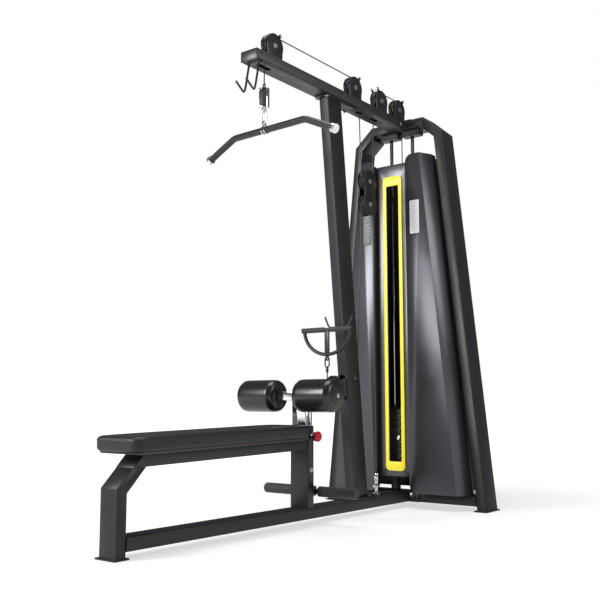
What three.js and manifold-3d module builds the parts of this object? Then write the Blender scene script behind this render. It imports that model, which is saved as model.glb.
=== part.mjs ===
// A dual-station strength machine: lat pulldown above, low row below, one weight stack.
//
// Units are millimetres, +Z is up. The user sits facing +Y, towards the mast and the tower.
// Every part is laid out with y = 0 at the front face of the front leg and z = 0 on the floor.
// The last step moves the whole model so that its origin lies under the middle of its base.

import * as THREE from 'three';
import { mergeVertices } from 'three/addons/utils/BufferGeometryUtils.js';
import Module from 'manifold-3d';

const wasm = await Module();
wasm.setup();

// ---------------------------------------------------------------- overall
const FOOT_OVERHANG = 12;
const TOWER_FRONT = 2023;
const TOWER_DEPTH = 137;
const TOWER_BACK = TOWER_FRONT + TOWER_DEPTH;
const MIDDLE_Y = TOWER_BACK / 2;
const GAP = 0.3;
const WALL = 3.5;
const EDGE = 3;

// ---------------------------------------------------------------- base and bench
const FOOT_HEIGHT = 6;
const TUBE_HALF_WIDTH = 50;
const BASE_BOTTOM = 27;
const BASE_TOP = 77;
const LEG_HALF_WIDTH = 46;
const LEG_THICKNESS = 47;
const LEG_BEND_Z = 251;
const RAIL_BOTTOM = 319;
const RAIL_HEIGHT = 50;
const RAIL_SLOPE = 0.0198;
const POST_FRONT = 1113;
const POST_DEPTH = 46;
const POST_HALF_WIDTH = 52;
const POST_TOP = 450;
const BOARD_THICKNESS = 8;
const BOARD_HALF_WIDTH = 112;
const CUSHION_HALF_WIDTH = 128;
const CUSHION_FRONT = 17;
const CUSHION_BACK = 1056;
const CUSHION_THICKNESS = 56;
const CUSHION_CORNER = 50;

// ---------------------------------------------------------------- mast and boom
const MAST_HALF_WIDTH = 27;
const MAST_DEPTH = 117;
const MAST_FOOT_Y = 1532;
const MAST_HEAD_Y = 1312.5;
const MAST_HEAD_Z = 2095.5;
const BOOM_FRONT = 742.5;
const BOOM_BOTTOM = 2096;
const BOOM_TOP = 2146;

// ---------------------------------------------------------------- tower
const UPRIGHT_THICKNESS = 50;
const UPRIGHT_FOOT_X = 494.5;
const UPRIGHT_BEND_X = 282.5;
const UPRIGHT_BEND_Z = 2045;
const TOP_BAR_X = 169;
const TOP_BAR_TOP = 2146;
const ROD_X = 69.3;
const ROD_Y = 2080;
const ROD_RADIUS = 10;
const ROD_BRIDGE_BOTTOM = 2063;

// ---------------------------------------------------------------- shroud
const PANEL_FRONT = 1968;
const PANEL_HALF_WIDTH = 102;
const SHROUD_FRONT = 1935;
const SHROUD_FOLD_Y = 2010;
const SHROUD_BACK = 2060;
const SHROUD_BOTTOM = 81;
const SHROUD_TOP = 1918;
const SHEET = 2.5;
const WINDOW_HALF_WIDTH = 39;
const WINDOW_BOTTOM = 238;
const WINDOW_TOP = 1765;

// ---------------------------------------------------------------- weight stack
const STACK_BOTTOM = 166;
const PLATE_PITCH = 36.5;
const PLATE_GAP = 1.5;
const RESTING_PLATES = 5;
const LIFTED_PLATES = 4;
const PLATE_HALF_WIDTH = 150;
const PLATE_HALF_DEPTH = 55;
const TOP_PLATE_HEIGHT = 26;
const SELECTOR_RADIUS = 12;
const PIN_RADIUS = 4.7;

// ---------------------------------------------------------------- pulleys and cables
const PULLEY_RADIUS = 60.5;
const PITCH_RADIUS = 55;
const PULLEY_HALF_WIDTH = 14;
const AXLE_RADIUS = 8;
const CABLE_RADIUS = 3;
const CHEEK_INNER = 16.5;
const CHEEK_OUTER = 21;
const BOOM_PULLEY_Z = 2216;
const BOOM_PULLEYS = { boom_front: 905, boom_middle: 1578, boom_rear: 1836, stack: 2025 };
const BLOCK_Y = 1708;
const BLOCK_UPPER_Z = 1733;
const BLOCK_LOWER_Z = 1608;
const ROW_FRONT = { y: 1392, z: 628 };
const ROW_MAST = { y: 1545, z: 686 };
const ANCHOR_Y = 1770;
const ANCHOR_TOP = 190;

// ---------------------------------------------------------------- thigh rollers and foot pegs
const ROLLER_Y = 1041;
const ROLLER_Z = 587;
const ROLLER_RADIUS = 74;
const ROLLER_INNER_X = 57;
const ROLLER_LENGTH = 216;
const ROLLER_AXLE_RADIUS = 12;
const THIGH_POST_HALF_WIDTH = 46;
const THIGH_POST_DEPTH = 37;
const PEG_Y = 1195;
const PEG_Z = 147;
const PEG_RADIUS = 24;
const PEG_ROD_RADIUS = 12.5;
const PEG_INNER_X = 56;
const PEG_OUTER_X = 262;
const KNOB_Y = 1136;
const KNOB_Z = 401;

// ---------------------------------------------------------------- handles
const HANGER_Y = BOOM_PULLEYS.boom_front - PITCH_RADIUS;
const LAT_BAR_Z = 1796;
const LAT_BAR_RADIUS = 15.5;
const LAT_BAR_HALF = 245;
const LAT_BAR_END = 201;
const LAT_BAR_DROOP = THREE.MathUtils.degToRad(23);
const LAT_BAR_OFFSET = 30;
const LAT_BAR_YAW = THREE.MathUtils.degToRad(-9);
const LAT_BAR_TILT = THREE.MathUtils.degToRad(2.7);
const ROW_HANDLE_Y = ROW_FRONT.y - PITCH_RADIUS;
const ROW_HANDLE_Z = 912;
const ROW_HANDLE_HALF = 138;
const ROW_HANDLE_DROP = 122;
const ROW_GRIP_RADIUS = 13;

// ---------------------------------------------------------------- finishes
const finish = (color, roughness, metalness) => ({ color, roughness, metalness });
const POWDER_COAT = finish(0x26272b, 0.5, 0.4);
const SHROUD_GREY = finish(0x6c6f74, 0.42, 0.6);
const SIGNAL_YELLOW = finish(0xf2e636, 0.45, 0.0);
const CAST_BLACK = finish(0x101113, 0.6, 0.3);
const CHROME = finish(0xc9ccd0, 0.18, 1.0);
const NYLON_BLACK = finish(0x141517, 0.5, 0.0);
const VINYL_BLACK = finish(0x1b1c1f, 0.45, 0.0);
const RUBBER_BLACK = finish(0x161719, 0.75, 0.0);
const KNOB_RED = finish(0xd61f33, 0.35, 0.0);
const PLYWOOD = finish(0x8d6b45, 0.7, 0.0);

// ---------------------------------------------------------------- solids
function toSolid(geometry) {
  const bare = geometry.clone();
  bare.deleteAttribute('normal');
  bare.deleteAttribute('uv');
  const merged = mergeVertices(bare, 1e-4);
  const mesh = new wasm.Mesh({
    numProp: 3,
    vertProperties: new Float32Array(merged.attributes.position.array),
    triVerts: new Uint32Array(merged.index.array),
  });
  return new wasm.Manifold(mesh);
}

function toGeometry(solid) {
  const mesh = solid.getMesh();
  const geometry = new THREE.BufferGeometry();
  geometry.setAttribute('position', new THREE.BufferAttribute(mesh.vertProperties.slice(), 3));
  geometry.setIndex(new THREE.BufferAttribute(mesh.triVerts.slice(), 1));
  geometry.computeVertexNormals();
  return geometry;
}

function join(...geometries) {
  return toGeometry(geometries.map(toSolid).reduce((whole, piece) => whole.add(piece)));
}

function cut(geometry, ...tools) {
  return toGeometry(tools.map(toSolid).reduce((rest, tool) => rest.subtract(tool), toSolid(geometry)));
}

function box(x0, x1, y0, y1, z0, z1) {
  const geometry = new THREE.BoxGeometry(x1 - x0, y1 - y0, z1 - z0);
  return geometry.translate((x0 + x1) / 2, (y0 + y1) / 2, (z0 + z1) / 2);
}

function outline(points) {
  return new THREE.Shape(points.map(([u, v]) => new THREE.Vector2(u, v)));
}

function roundedOutline(u0, u1, v0, v1, radius) {
  const shape = new THREE.Shape();
  shape.moveTo(u0 + radius, v0);
  shape.lineTo(u1 - radius, v0);
  shape.absarc(u1 - radius, v0 + radius, radius, -Math.PI / 2, 0, false);
  shape.lineTo(u1, v1 - radius);
  shape.absarc(u1 - radius, v1 - radius, radius, 0, Math.PI / 2, false);
  shape.lineTo(u0 + radius, v1);
  shape.absarc(u0 + radius, v1 - radius, radius, Math.PI / 2, Math.PI, false);
  shape.lineTo(u0, v0 + radius);
  shape.absarc(u0 + radius, v0 + radius, radius, Math.PI, Math.PI * 1.5, false);
  return shape;
}

function extrude(shape, depth, edge, curveSegments = 4) {
  return new THREE.ExtrudeGeometry(shape, {
    depth: depth - 2 * edge,
    bevelEnabled: edge > 0,
    bevelThickness: edge,
    bevelSize: edge,
    bevelOffset: -edge,
    bevelSegments: 2,
    curveSegments,
  }).translate(0, 0, edge);
}

// A side view, drawn in (y, z), given a width from x0 to x1.
function acrossX(shape, x0, x1, edge = 0, curveSegments = 4) {
  const toX = new THREE.Matrix4().set(0, 0, 1, x0, 1, 0, 0, 0, 0, 1, 0, 0, 0, 0, 0, 1);
  return extrude(shape, x1 - x0, edge, curveSegments).applyMatrix4(toX);
}

// A front view, drawn in (x, z), given a depth from y0 to y1.
function acrossY(shape, y0, y1, edge = 0, curveSegments = 4) {
  const toY = new THREE.Matrix4().set(1, 0, 0, 0, 0, 0, -1, y1, 0, 1, 0, 0, 0, 0, 0, 1);
  return extrude(shape, y1 - y0, edge, curveSegments).applyMatrix4(toY);
}

// A plan view, drawn in (x, y), given a height from z0 to z1.
function acrossZ(shape, z0, z1, edge = 0, curveSegments = 4) {
  return extrude(shape, z1 - z0, edge, curveSegments).translate(0, 0, z0);
}

function turnedOnX(profile, y, z, segments = 24) {
  const points = profile.map(([radius, x]) => new THREE.Vector2(radius, x));
  return new THREE.LatheGeometry(points, segments).rotateZ(-Math.PI / 2).translate(0, y, z);
}

function turnedOnZ(profile, x, y, segments = 24) {
  const points = profile.map(([radius, z]) => new THREE.Vector2(radius, z));
  return new THREE.LatheGeometry(points, segments).rotateX(Math.PI / 2).translate(x, y, 0);
}

function rodX(radius, x0, x1, y, z, segments = 16) {
  return turnedOnX([[0, x0], [radius, x0], [radius, x1], [0, x1]], y, z, segments);
}

function rodY(radius, y0, y1, x, z, segments = 16) {
  const rod = new THREE.CylinderGeometry(radius, radius, y1 - y0, segments);
  return rod.translate(x, (y0 + y1) / 2, z);
}

function rodZ(radius, z0, z1, x, y, segments = 16) {
  return turnedOnZ([[0, z0], [radius, z0], [radius, z1], [0, z1]], x, y, segments);
}

// The band between an outer polyline and its mitred offset to the right, or left if negative.
function mitredBand(points, offset, thickness) {
  const edgeAt = (distance) => points.map((point, i) => {
    const before = points[Math.max(i - 1, 0)];
    const after = points[Math.min(i + 1, points.length - 1)];
    const into = i > 0 ? directionOf(before, point) : directionOf(point, after);
    const out = i < points.length - 1 ? directionOf(point, after) : into;
    const side = [into[1] + out[1], -into[0] - out[0]];
    const reach = distance / (1 + into[0] * out[0] + into[1] * out[1]);
    return [point[0] + side[0] * reach, point[1] + side[1] * reach];
  });
  return outline([...edgeAt(offset), ...edgeAt(offset + thickness).reverse()]);
}

function directionOf(from, to) {
  const length = Math.hypot(to[0] - from[0], to[1] - from[1]);
  return [(to[0] - from[0]) / length, (to[1] - from[1]) / length];
}

// A curve that passes exactly through its points, one step of a sweep to each.
class RouteCurve extends THREE.Curve {
  constructor(points) {
    super();
    this.points = points;
  }

  getPoint(t, target = new THREE.Vector3()) {
    const place = THREE.MathUtils.clamp(t, 0, 1) * (this.points.length - 1);
    const index = Math.min(Math.floor(place), this.points.length - 2);
    return target.lerpVectors(this.points[index], this.points[index + 1], place - index);
  }

  getPointAt(u, target) {
    return this.getPoint(u, target);
  }

  getTangentAt(u, target) {
    return this.getTangent(u, target);
  }
}

function sweep(points, radius, sides = 8) {
  const section = new THREE.Shape();
  for (let i = 0; i <= sides; i += 1) {
    const angle = (i / sides) * Math.PI * 2;
    const corner = [radius * Math.cos(angle), radius * Math.sin(angle)];
    if (i === 0) section.moveTo(...corner);
    else if (i < sides) section.lineTo(...corner);
  }
  return new THREE.ExtrudeGeometry(section, {
    steps: points.length - 1,
    extrudePath: new RouteCurve(points),
    bevelEnabled: false,
  });
}

function arc(centre, radius, from, to, steps, place) {
  const points = [];
  for (let i = 0; i <= steps; i += 1) {
    const angle = from + ((to - from) * i) / steps;
    points.push(place(centre[0] + radius * Math.cos(angle), centre[1] + radius * Math.sin(angle)));
  }
  return points;
}

const inSideView = (y, z) => new THREE.Vector3(0, y, z);

function hexHeadX(x0, x1, y, z, radius = 11) {
  return rodX(radius, x0, x1, y, z, 6);
}

// ---------------------------------------------------------------- base and bench
function baseBeam() {
  const back = TOWER_FRONT - GAP;
  const flange = 8;
  const boltX = 78;
  const beam = acrossY(
    roundedOutline(-TUBE_HALF_WIDTH, TUBE_HALF_WIDTH, BASE_BOTTOM, BASE_TOP, 5),
    LEG_THICKNESS + GAP, back, 0, 2,
  );
  const hollow = box(
    -TUBE_HALF_WIDTH + WALL, TUBE_HALF_WIDTH - WALL, 0, back - flange, BASE_BOTTOM + WALL, BASE_TOP - WALL,
  );
  const plate = box(-108, 108, back - flange, back, BASE_BOTTOM, BASE_TOP);
  const bolts = [-boltX, boltX].map((x) => rodY(11, back - flange - 8, back, x, 52, 6));
  return join(cut(beam, hollow), plate, ...bolts);
}

function frontLeg() {
  const slantTopY = (RAIL_BOTTOM + RAIL_HEIGHT - LEG_BEND_Z) + 3;
  const spine = [[0, 0], [0, LEG_BEND_Z], [slantTopY, LEG_BEND_Z + slantTopY]];
  const outer = acrossX(mitredBand(spine, 0, LEG_THICKNESS), -LEG_HALF_WIDTH, LEG_HALF_WIDTH, EDGE);
  const longer = [[0, -50], [0, LEG_BEND_Z], [slantTopY + 80, LEG_BEND_Z + slantTopY + 80]];
  const inner = acrossX(
    mitredBand(longer, WALL, LEG_THICKNESS - 2 * WALL), -LEG_HALF_WIDTH + WALL, LEG_HALF_WIDTH - WALL,
  );
  const railSide = acrossX(outline([
    [-100, railZ(-100, 0) - GAP],
    [400, railZ(400, 0) - GAP],
    [400, 700],
    [-100, 700],
  ]), -200, 200);
  const floorSide = box(-200, 200, -200, 400, -100, FOOT_HEIGHT - 1);
  const back = LEG_THICKNESS + FOOT_OVERHANG;
  const half = LEG_HALF_WIDTH + 10;
  const plate = acrossZ(roundedOutline(-half, half, -FOOT_OVERHANG, back, 5), 0, FOOT_HEIGHT, 0, 2);
  return join(cut(outer, inner, railSide, floorSide), plate);
}

// Height of the seat rail's faces: 0 is its bottom face, RAIL_HEIGHT its top face.
function railZ(y, above) {
  return RAIL_BOTTOM + above + RAIL_SLOPE * y;
}

function seatRail() {
  const back = POST_FRONT - GAP;
  const bottomY = RAIL_BOTTOM - LEG_BEND_Z + 3;
  const topY = bottomY + RAIL_HEIGHT;
  const rail = acrossX(outline([
    [bottomY, railZ(bottomY, 0)],
    [back, railZ(back, 0)],
    [back, railZ(back, RAIL_HEIGHT)],
    [topY, railZ(topY, RAIL_HEIGHT)],
  ]), -TUBE_HALF_WIDTH, TUBE_HALF_WIDTH, EDGE);
  const hollow = acrossX(outline([
    [bottomY + 12, railZ(bottomY, WALL)],
    [back + 10, railZ(back, WALL)],
    [back + 10, railZ(back, RAIL_HEIGHT - WALL)],
    [topY + 5, railZ(topY, RAIL_HEIGHT - WALL)],
  ]), -TUBE_HALF_WIDTH + WALL, TUBE_HALF_WIDTH - WALL);
  return cut(rail, hollow);
}

function rearPost() {
  const back = POST_FRONT + POST_DEPTH;
  const post = acrossZ(
    roundedOutline(-POST_HALF_WIDTH, POST_HALF_WIDTH, POST_FRONT, back, 5), BASE_TOP + GAP, POST_TOP, 0, 2,
  );
  const bore = box(
    -POST_HALF_WIDTH + WALL, POST_HALF_WIDTH - WALL, POST_FRONT + WALL, back - WALL, 0, POST_TOP + 10,
  );
  const lug = box(-24, 24, back - 1, PEG_Y + 20, PEG_Z - 22, PEG_Z + 22);
  const pegBar = rodX(PEG_ROD_RADIUS, -PEG_OUTER_X + 2, PEG_OUTER_X - 2, PEG_Y, PEG_Z, 12);
  const boss = rodX(15, POST_HALF_WIDTH - 1, POST_HALF_WIDTH + 12, KNOB_Y, KNOB_Z);
  const plungerHole = rodX(6, 0, POST_HALF_WIDTH + 20, KNOB_Y, KNOB_Z);
  return cut(join(cut(post, bore), lug, pegBar, boss), plungerHole);
}

function onRail(z) {
  return (y) => railZ(y, RAIL_HEIGHT + z);
}

function seatBoard() {
  const bottom = onRail(GAP);
  const top = onRail(BOARD_THICKNESS);
  const front = CUSHION_FRONT + 30;
  const back = CUSHION_BACK - 20;
  return acrossX(outline([
    [front, bottom(front)],
    [back, bottom(back)],
    [back, top(back)],
    [front, top(front)],
  ]), -BOARD_HALF_WIDTH, BOARD_HALF_WIDTH);
}

function seatCushion() {
  const plan = roundedOutline(
    -CUSHION_HALF_WIDTH, CUSHION_HALF_WIDTH, CUSHION_FRONT, CUSHION_BACK, CUSHION_CORNER,
  );
  const pad = acrossZ(plan, 0, CUSHION_THICKNESS, 8, 4);
  const base = RAIL_BOTTOM + RAIL_HEIGHT + BOARD_THICKNESS + GAP;
  const lean = new THREE.Matrix4().set(1, 0, 0, 0, 0, 1, 0, 0, 0, RAIL_SLOPE, 1, base, 0, 0, 0, 1);
  return pad.applyMatrix4(lean);
}

// ---------------------------------------------------------------- mast and boom
function mastFrontY(z) {
  const lean = (MAST_FOOT_Y - MAST_HEAD_Y) / (MAST_HEAD_Z - BASE_TOP);
  return MAST_FOOT_Y - lean * (z - BASE_TOP);
}

function mastOutline(z0, z1, inset) {
  return outline([
    [mastFrontY(z0) + inset, z0],
    [mastFrontY(z0) + MAST_DEPTH - inset, z0],
    [mastFrontY(z1) + MAST_DEPTH - inset, z1],
    [mastFrontY(z1) + inset, z1],
  ]);
}

function mast() {
  const footTop = BASE_TOP + 8;
  const headBottom = MAST_HEAD_Z - 8;
  const tube = acrossX(mastOutline(footTop - 1, headBottom + 1, 0), -MAST_HALF_WIDTH, MAST_HALF_WIDTH, EDGE);
  const inside = MAST_HALF_WIDTH - WALL;
  const hollow = acrossX(mastOutline(0, 2200, WALL), -inside, inside);
  const foot = box(-48, 48, 1500, 1705, BASE_TOP + GAP, footTop);
  const head = box(-38, 38, 1292, 1563, headBottom, MAST_HEAD_Z);
  const slotHalf = PULLEY_HALF_WIDTH + 2;
  const frontSlot = box(-slotHalf, slotHalf, 1400, ROW_MAST.y, 572, 692);
  const backSlot = box(-slotHalf, slotHalf, ROW_MAST.y, 1700, ROW_MAST.z - 78, ROW_MAST.z + 84);
  const rowAxle = axleWithHeads(ROW_MAST.y, ROW_MAST.z, MAST_HALF_WIDTH);
  const bolts = [[-34, 1512], [34, 1512], [-34, 1688], [34, 1688]]
    .map(([x, y]) => rodZ(10, footTop - 1, footTop + 8, x, y, 6));
  const headBolts = [[-32, 1303], [32, 1303], [-32, 1545], [32, 1545]]
    .map(([x, y]) => rodZ(5, headBottom - 8, headBottom + 1, x, y, 6));
  const ends = box(-200, 200, 1000, 1900, headBottom + 1, 2300);
  const tubeOpen = cut(tube, hollow, frontSlot, backSlot, ends);
  return join(tubeOpen, foot, head, ...bolts, ...headBolts, ...rowFrontBracket(), ...rowAxle);
}

function boomSlots() {
  const half = 12;
  return [[800, 890], [1606, 1664], [1748, 1812]]
    .map(([y0, y1]) => box(-half, half, y0, y1, BOOM_BOTTOM - 10, BOOM_TOP + 10));
}

function boom() {
  const back = TOWER_FRONT - GAP;
  const flange = 8;
  const beam = acrossY(
    roundedOutline(-TUBE_HALF_WIDTH, TUBE_HALF_WIDTH, BOOM_BOTTOM, BOOM_TOP, 5), BOOM_FRONT, back - 1, 0, 2,
  );
  const hollow = box(
    -TUBE_HALF_WIDTH + WALL, TUBE_HALF_WIDTH - WALL, BOOM_FRONT + WALL, back - flange,
    BOOM_BOTTOM + WALL, BOOM_TOP - WALL,
  );
  const plate = box(-96, 96, back - flange, back, BOOM_BOTTOM + 2, BOOM_TOP);
  const bolts = [-73, 73].map((x) => rodY(11, back - flange - 8, back - 1, x, BOOM_BOTTOM + 28, 6));
  return join(cut(beam, hollow, ...boomSlots()), plate, ...bolts);
}

function boomHooks() {
  const rod = 5;
  const top = { y: 777, z: BOOM_BOTTOM - GAP };
  const hook = (x) => sweep([
    new THREE.Vector3(x, top.y, top.z - 1),
    new THREE.Vector3(x, 752, 1972),
    new THREE.Vector3(x, 749, 1961),
    new THREE.Vector3(x, 742, 1956),
    new THREE.Vector3(x, 733, 1959),
    new THREE.Vector3(x, 688, 1990),
  ], rod, 10);
  const strip = box(-40, 40, top.y - 11, top.y + 11, top.z - 5, top.z);
  return join(strip, hook(-30), hook(30));
}

function mastProngs() {
  const y = mastFrontY(925) - 6;
  return sweep([
    new THREE.Vector3(-82, y + 4, 986),
    new THREE.Vector3(-60, y, 934),
    new THREE.Vector3(-52, y, 926),
    new THREE.Vector3(52, y, 926),
    new THREE.Vector3(60, y, 934),
    new THREE.Vector3(82, y + 4, 986),
  ], 5, 10);
}

// ---------------------------------------------------------------- tower
function upright(side) {
  const foot = UPRIGHT_FOOT_X;
  const topX = TOP_BAR_X;
  const spine = [[foot + 0.7, -1], [UPRIGHT_BEND_X, UPRIGHT_BEND_Z], [topX, TOP_BAR_TOP]]
    .map(([x, z]) => [x * side, z]);
  const slope = (TOP_BAR_TOP - UPRIGHT_BEND_Z) / (UPRIGHT_BEND_X - topX);
  const longer = [[foot + 9, -84], [UPRIGHT_BEND_X, UPRIGHT_BEND_Z], [topX - 60, TOP_BAR_TOP + 60 * slope]]
    .map(([x, z]) => [x * side, z]);
  const thickness = -UPRIGHT_THICKNESS * side;
  const wall = -WALL * side;
  const outer = acrossY(mitredBand(spine, 0, thickness), TOWER_FRONT, TOWER_BACK, EDGE);
  const hollow = acrossY(
    mitredBand(longer, wall, thickness - 2 * wall), TOWER_FRONT + WALL, TOWER_BACK - WALL,
  );
  const barSide = box(
    Math.min(0, side * (topX + GAP)), Math.max(0, side * (topX + GAP)), 1900, 2300, 1900, 2300,
  );
  const floorSide = box(-700, 700, 1900, 2300, -100, FOOT_HEIGHT - 1);
  return join(cut(outer, hollow, barSide, floorSide), towerFoot(side));
}

function topBar() {
  const bottom = TOP_BAR_TOP - UPRIGHT_THICKNESS;
  const bar = acrossY(
    outline([
      [-TOP_BAR_X, bottom],
      [TOP_BAR_X, bottom],
      [TOP_BAR_X, TOP_BAR_TOP],
      [-TOP_BAR_X, TOP_BAR_TOP],
    ]), TOWER_FRONT, TOWER_BACK, EDGE,
  );
  const hollow = box(
    -TOP_BAR_X - 5, TOP_BAR_X + 5, TOWER_FRONT + WALL, TOWER_BACK - WALL, bottom + WALL, TOP_BAR_TOP - WALL,
  );
  const slot = box(-14, 14, ROD_Y - 26, ROD_Y + 26, ROD_BRIDGE_BOTTOM - 5, TOP_BAR_TOP + 5);
  const bridge = box(-126, 126, ROD_Y - 24, ROD_Y + 24, ROD_BRIDGE_BOTTOM, bottom + 1);
  const rodHoles = [-ROD_X, ROD_X].map((x) => rodZ(ROD_RADIUS + 1, 2000, 2093, x, ROD_Y, 12));
  return cut(join(cut(bar, hollow), bridge), slot, ...rodHoles);
}

function baseCrossbeam() {
  const innerX = UPRIGHT_FOOT_X - 57;
  const lean = (UPRIGHT_FOOT_X - UPRIGHT_BEND_X) / UPRIGHT_BEND_Z;
  const half = (z) => innerX - lean * (z - BASE_BOTTOM) + 1;
  const beam = acrossY(outline([
    [-half(BASE_BOTTOM), BASE_BOTTOM],
    [half(BASE_BOTTOM), BASE_BOTTOM],
    [half(BASE_TOP), BASE_TOP],
    [-half(BASE_TOP), BASE_TOP],
  ]), TOWER_FRONT, TOWER_BACK, EDGE);
  const hollow = box(
    -500, 500, TOWER_FRONT + WALL, TOWER_BACK - WALL, BASE_BOTTOM + WALL, BASE_TOP - WALL,
  );
  return cut(beam, hollow);
}

function towerFoot(side) {
  const inner = UPRIGHT_FOOT_X - 64;
  const outer = UPRIGHT_FOOT_X + 9;
  const x = [inner * side, outer * side].sort((a, b) => a - b);
  return acrossZ(
    roundedOutline(x[0], x[1], TOWER_FRONT - FOOT_OVERHANG, TOWER_BACK + FOOT_OVERHANG, 5), 0, FOOT_HEIGHT, 0, 2,
  );
}

function guideRod(side) {
  return rodZ(ROD_RADIUS, BASE_TOP + GAP, 2092, side * ROD_X, ROD_Y, 12);
}

function bumper(side) {
  const inner = ROD_RADIUS + 1;
  const top = STACK_BOTTOM - GAP;
  return turnedOnZ([
    [inner, BASE_TOP + GAP],
    [26, BASE_TOP + GAP],
    [26, BASE_TOP + 26],
    [21, BASE_TOP + 34],
    [21, top - 12],
    [24, top],
    [inner, top],
    [inner, BASE_TOP + GAP],
  ], side * ROD_X, ROD_Y, 12);
}

// ---------------------------------------------------------------- shroud
function shroudPlan(frontX, foldX) {
  return [
    [PANEL_HALF_WIDTH + GAP, PANEL_FRONT + SHEET],
    [PANEL_HALF_WIDTH + GAP, SHROUD_FRONT],
    [frontX, SHROUD_FRONT],
    [foldX, SHROUD_FOLD_Y],
    [foldX, SHROUD_BACK],
    [foldX - SHEET, SHROUD_BACK],
    [foldX - SHEET, SHROUD_FOLD_Y + 0.6],
    [frontX - 1.9, SHROUD_FRONT + SHEET],
    [PANEL_HALF_WIDTH + GAP + SHEET, SHROUD_FRONT + SHEET],
    [PANEL_HALF_WIDTH + GAP + SHEET, PANEL_FRONT + SHEET],
  ];
}

// A closed skin between two plans with the same number of corners, one above the other.
function loft(lower, upper, z0, z1, side) {
  const count = lower.length;
  const place = (plan, z) => plan.flatMap(([x, y]) => [x * side, y, z]);
  const geometry = new THREE.BufferGeometry();
  const positions = new Float32Array([...place(lower, z0), ...place(upper, z1)]);
  geometry.setAttribute('position', new THREE.BufferAttribute(positions, 3));
  const caps = THREE.ShapeUtils.triangulateShape(lower.map(([x, y]) => new THREE.Vector2(x, y)), []);
  const faces = [];
  const add = (a, b, c) => faces.push(...(side > 0 ? [a, b, c] : [a, c, b]));
  caps.forEach(([a, b, c]) => {
    add(c, b, a);
    add(a + count, b + count, c + count);
  });
  for (let i = 0; i < count; i += 1) {
    const next = (i + 1) % count;
    add(i, next, next + count);
    add(i, next + count, i + count);
  }
  geometry.setIndex(faces);
  return geometry;
}

function cornerCut(x, z, radius, up, side) {
  const shape = new THREE.Shape();
  const reach = radius + 20;
  shape.moveTo(side * (x - 20), z + up * 20);
  shape.lineTo(side * (x + reach - 20), z + up * 20);
  shape.lineTo(side * (x + radius), z);
  for (let i = 1; i <= 6; i += 1) {
    const angle = (i / 6) * (Math.PI / 2);
    const dx = radius - radius * Math.sin(angle);
    const dz = radius - radius * Math.cos(angle);
    shape.lineTo(side * (x + dx), z - up * dz);
  }
  shape.lineTo(side * (x - 20), z - up * radius);
  return acrossY(shape, SHROUD_FRONT - 30, PANEL_FRONT + SHEET + 30);
}

function sideShroud(side) {
  const skin = loft(shroudPlan(375, 416), shroudPlan(190, 225), SHROUD_BOTTOM, SHROUD_TOP, side);
  const inner = PANEL_HALF_WIDTH + GAP;
  return cut(
    skin,
    cornerCut(inner, SHROUD_TOP, 42, 1, side),
    cornerCut(inner, SHROUD_BOTTOM, 40, -1, side),
  );
}

function centrePanel() {
  const half = PANEL_HALF_WIDTH;
  const panel = acrossY(roundedOutline(-half, half, 162, 1885, 4), PANEL_FRONT, PANEL_FRONT + SHEET);
  const hole = acrossY(
    roundedOutline(-WINDOW_HALF_WIDTH, WINDOW_HALF_WIDTH, WINDOW_BOTTOM, WINDOW_TOP, 6),
    PANEL_FRONT - 20, PANEL_FRONT + 20,
  );
  return cut(panel, hole);
}

function windowFrame() {
  const front = PANEL_FRONT - 6;
  const ring = acrossY(roundedOutline(-60.5, 60.5, 190, 1817, 26), front, PANEL_FRONT - GAP, 1.5, 3);
  const hole = acrossY(
    roundedOutline(-WINDOW_HALF_WIDTH + 1, WINDOW_HALF_WIDTH - 1, WINDOW_BOTTOM + 1, WINDOW_TOP - 1, 5),
    front - 20, front + 20,
  );
  return cut(ring, hole);
}

// ---------------------------------------------------------------- weight stack
const stackTop = STACK_BOTTOM + PLATE_PITCH * (RESTING_PLATES + LIFTED_PLATES);
const liftedBottom = STACK_BOTTOM + PLATE_PITCH * RESTING_PLATES;
const pinZ = liftedBottom + (PLATE_PITCH - PLATE_GAP) / 2;

function plateHoles(z0, z1) {
  return [
    rodZ(ROD_RADIUS + 2, z0, z1, -ROD_X, ROD_Y, 12),
    rodZ(ROD_RADIUS + 2, z0, z1, ROD_X, ROD_Y, 12),
    rodZ(SELECTOR_RADIUS + 2, z0, z1, 0, ROD_Y, 12),
  ];
}

// Plates that move together: one body, with a groove all round where two plates meet.
function platePack(bottom, count) {
  const front = ROD_Y - PLATE_HALF_DEPTH;
  const back = ROD_Y + PLATE_HALF_DEPTH;
  const half = PLATE_HALF_WIDTH;
  const top = bottom + count * PLATE_PITCH - PLATE_GAP;
  const rounded = acrossZ(roundedOutline(-half, half, front, back, 6), bottom, top, 0, 1);
  const grooves = [];
  const slots = [];
  for (let i = 0; i < count; i += 1) {
    const z0 = bottom + i * PLATE_PITCH;
    slots.push(pinSlot(z0));
    if (i > 0) grooves.push(grooveRing(z0 - PLATE_GAP, z0));
  }
  return cut(rounded, ...grooves, ...slots, ...plateHoles(bottom - 5, top + 5));
}

function grooveRing(z0, z1) {
  const depth = 10;
  const front = ROD_Y - PLATE_HALF_DEPTH;
  const back = ROD_Y + PLATE_HALF_DEPTH;
  const half = PLATE_HALF_WIDTH;
  return cut(
    box(-half - 5, half + 5, front - 5, back + 5, z0, z1),
    box(-half + depth, half - depth, front + depth, back - depth, z0 - 1, z1 + 1),
  );
}

function pinSlot(z0) {
  const centre = z0 + (PLATE_PITCH - PLATE_GAP) / 2;
  const half = PIN_RADIUS + 1.3;
  return box(-half, half, ROD_Y - PLATE_HALF_DEPTH - 5, ROD_Y + 22, centre - half, centre + half);
}

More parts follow.
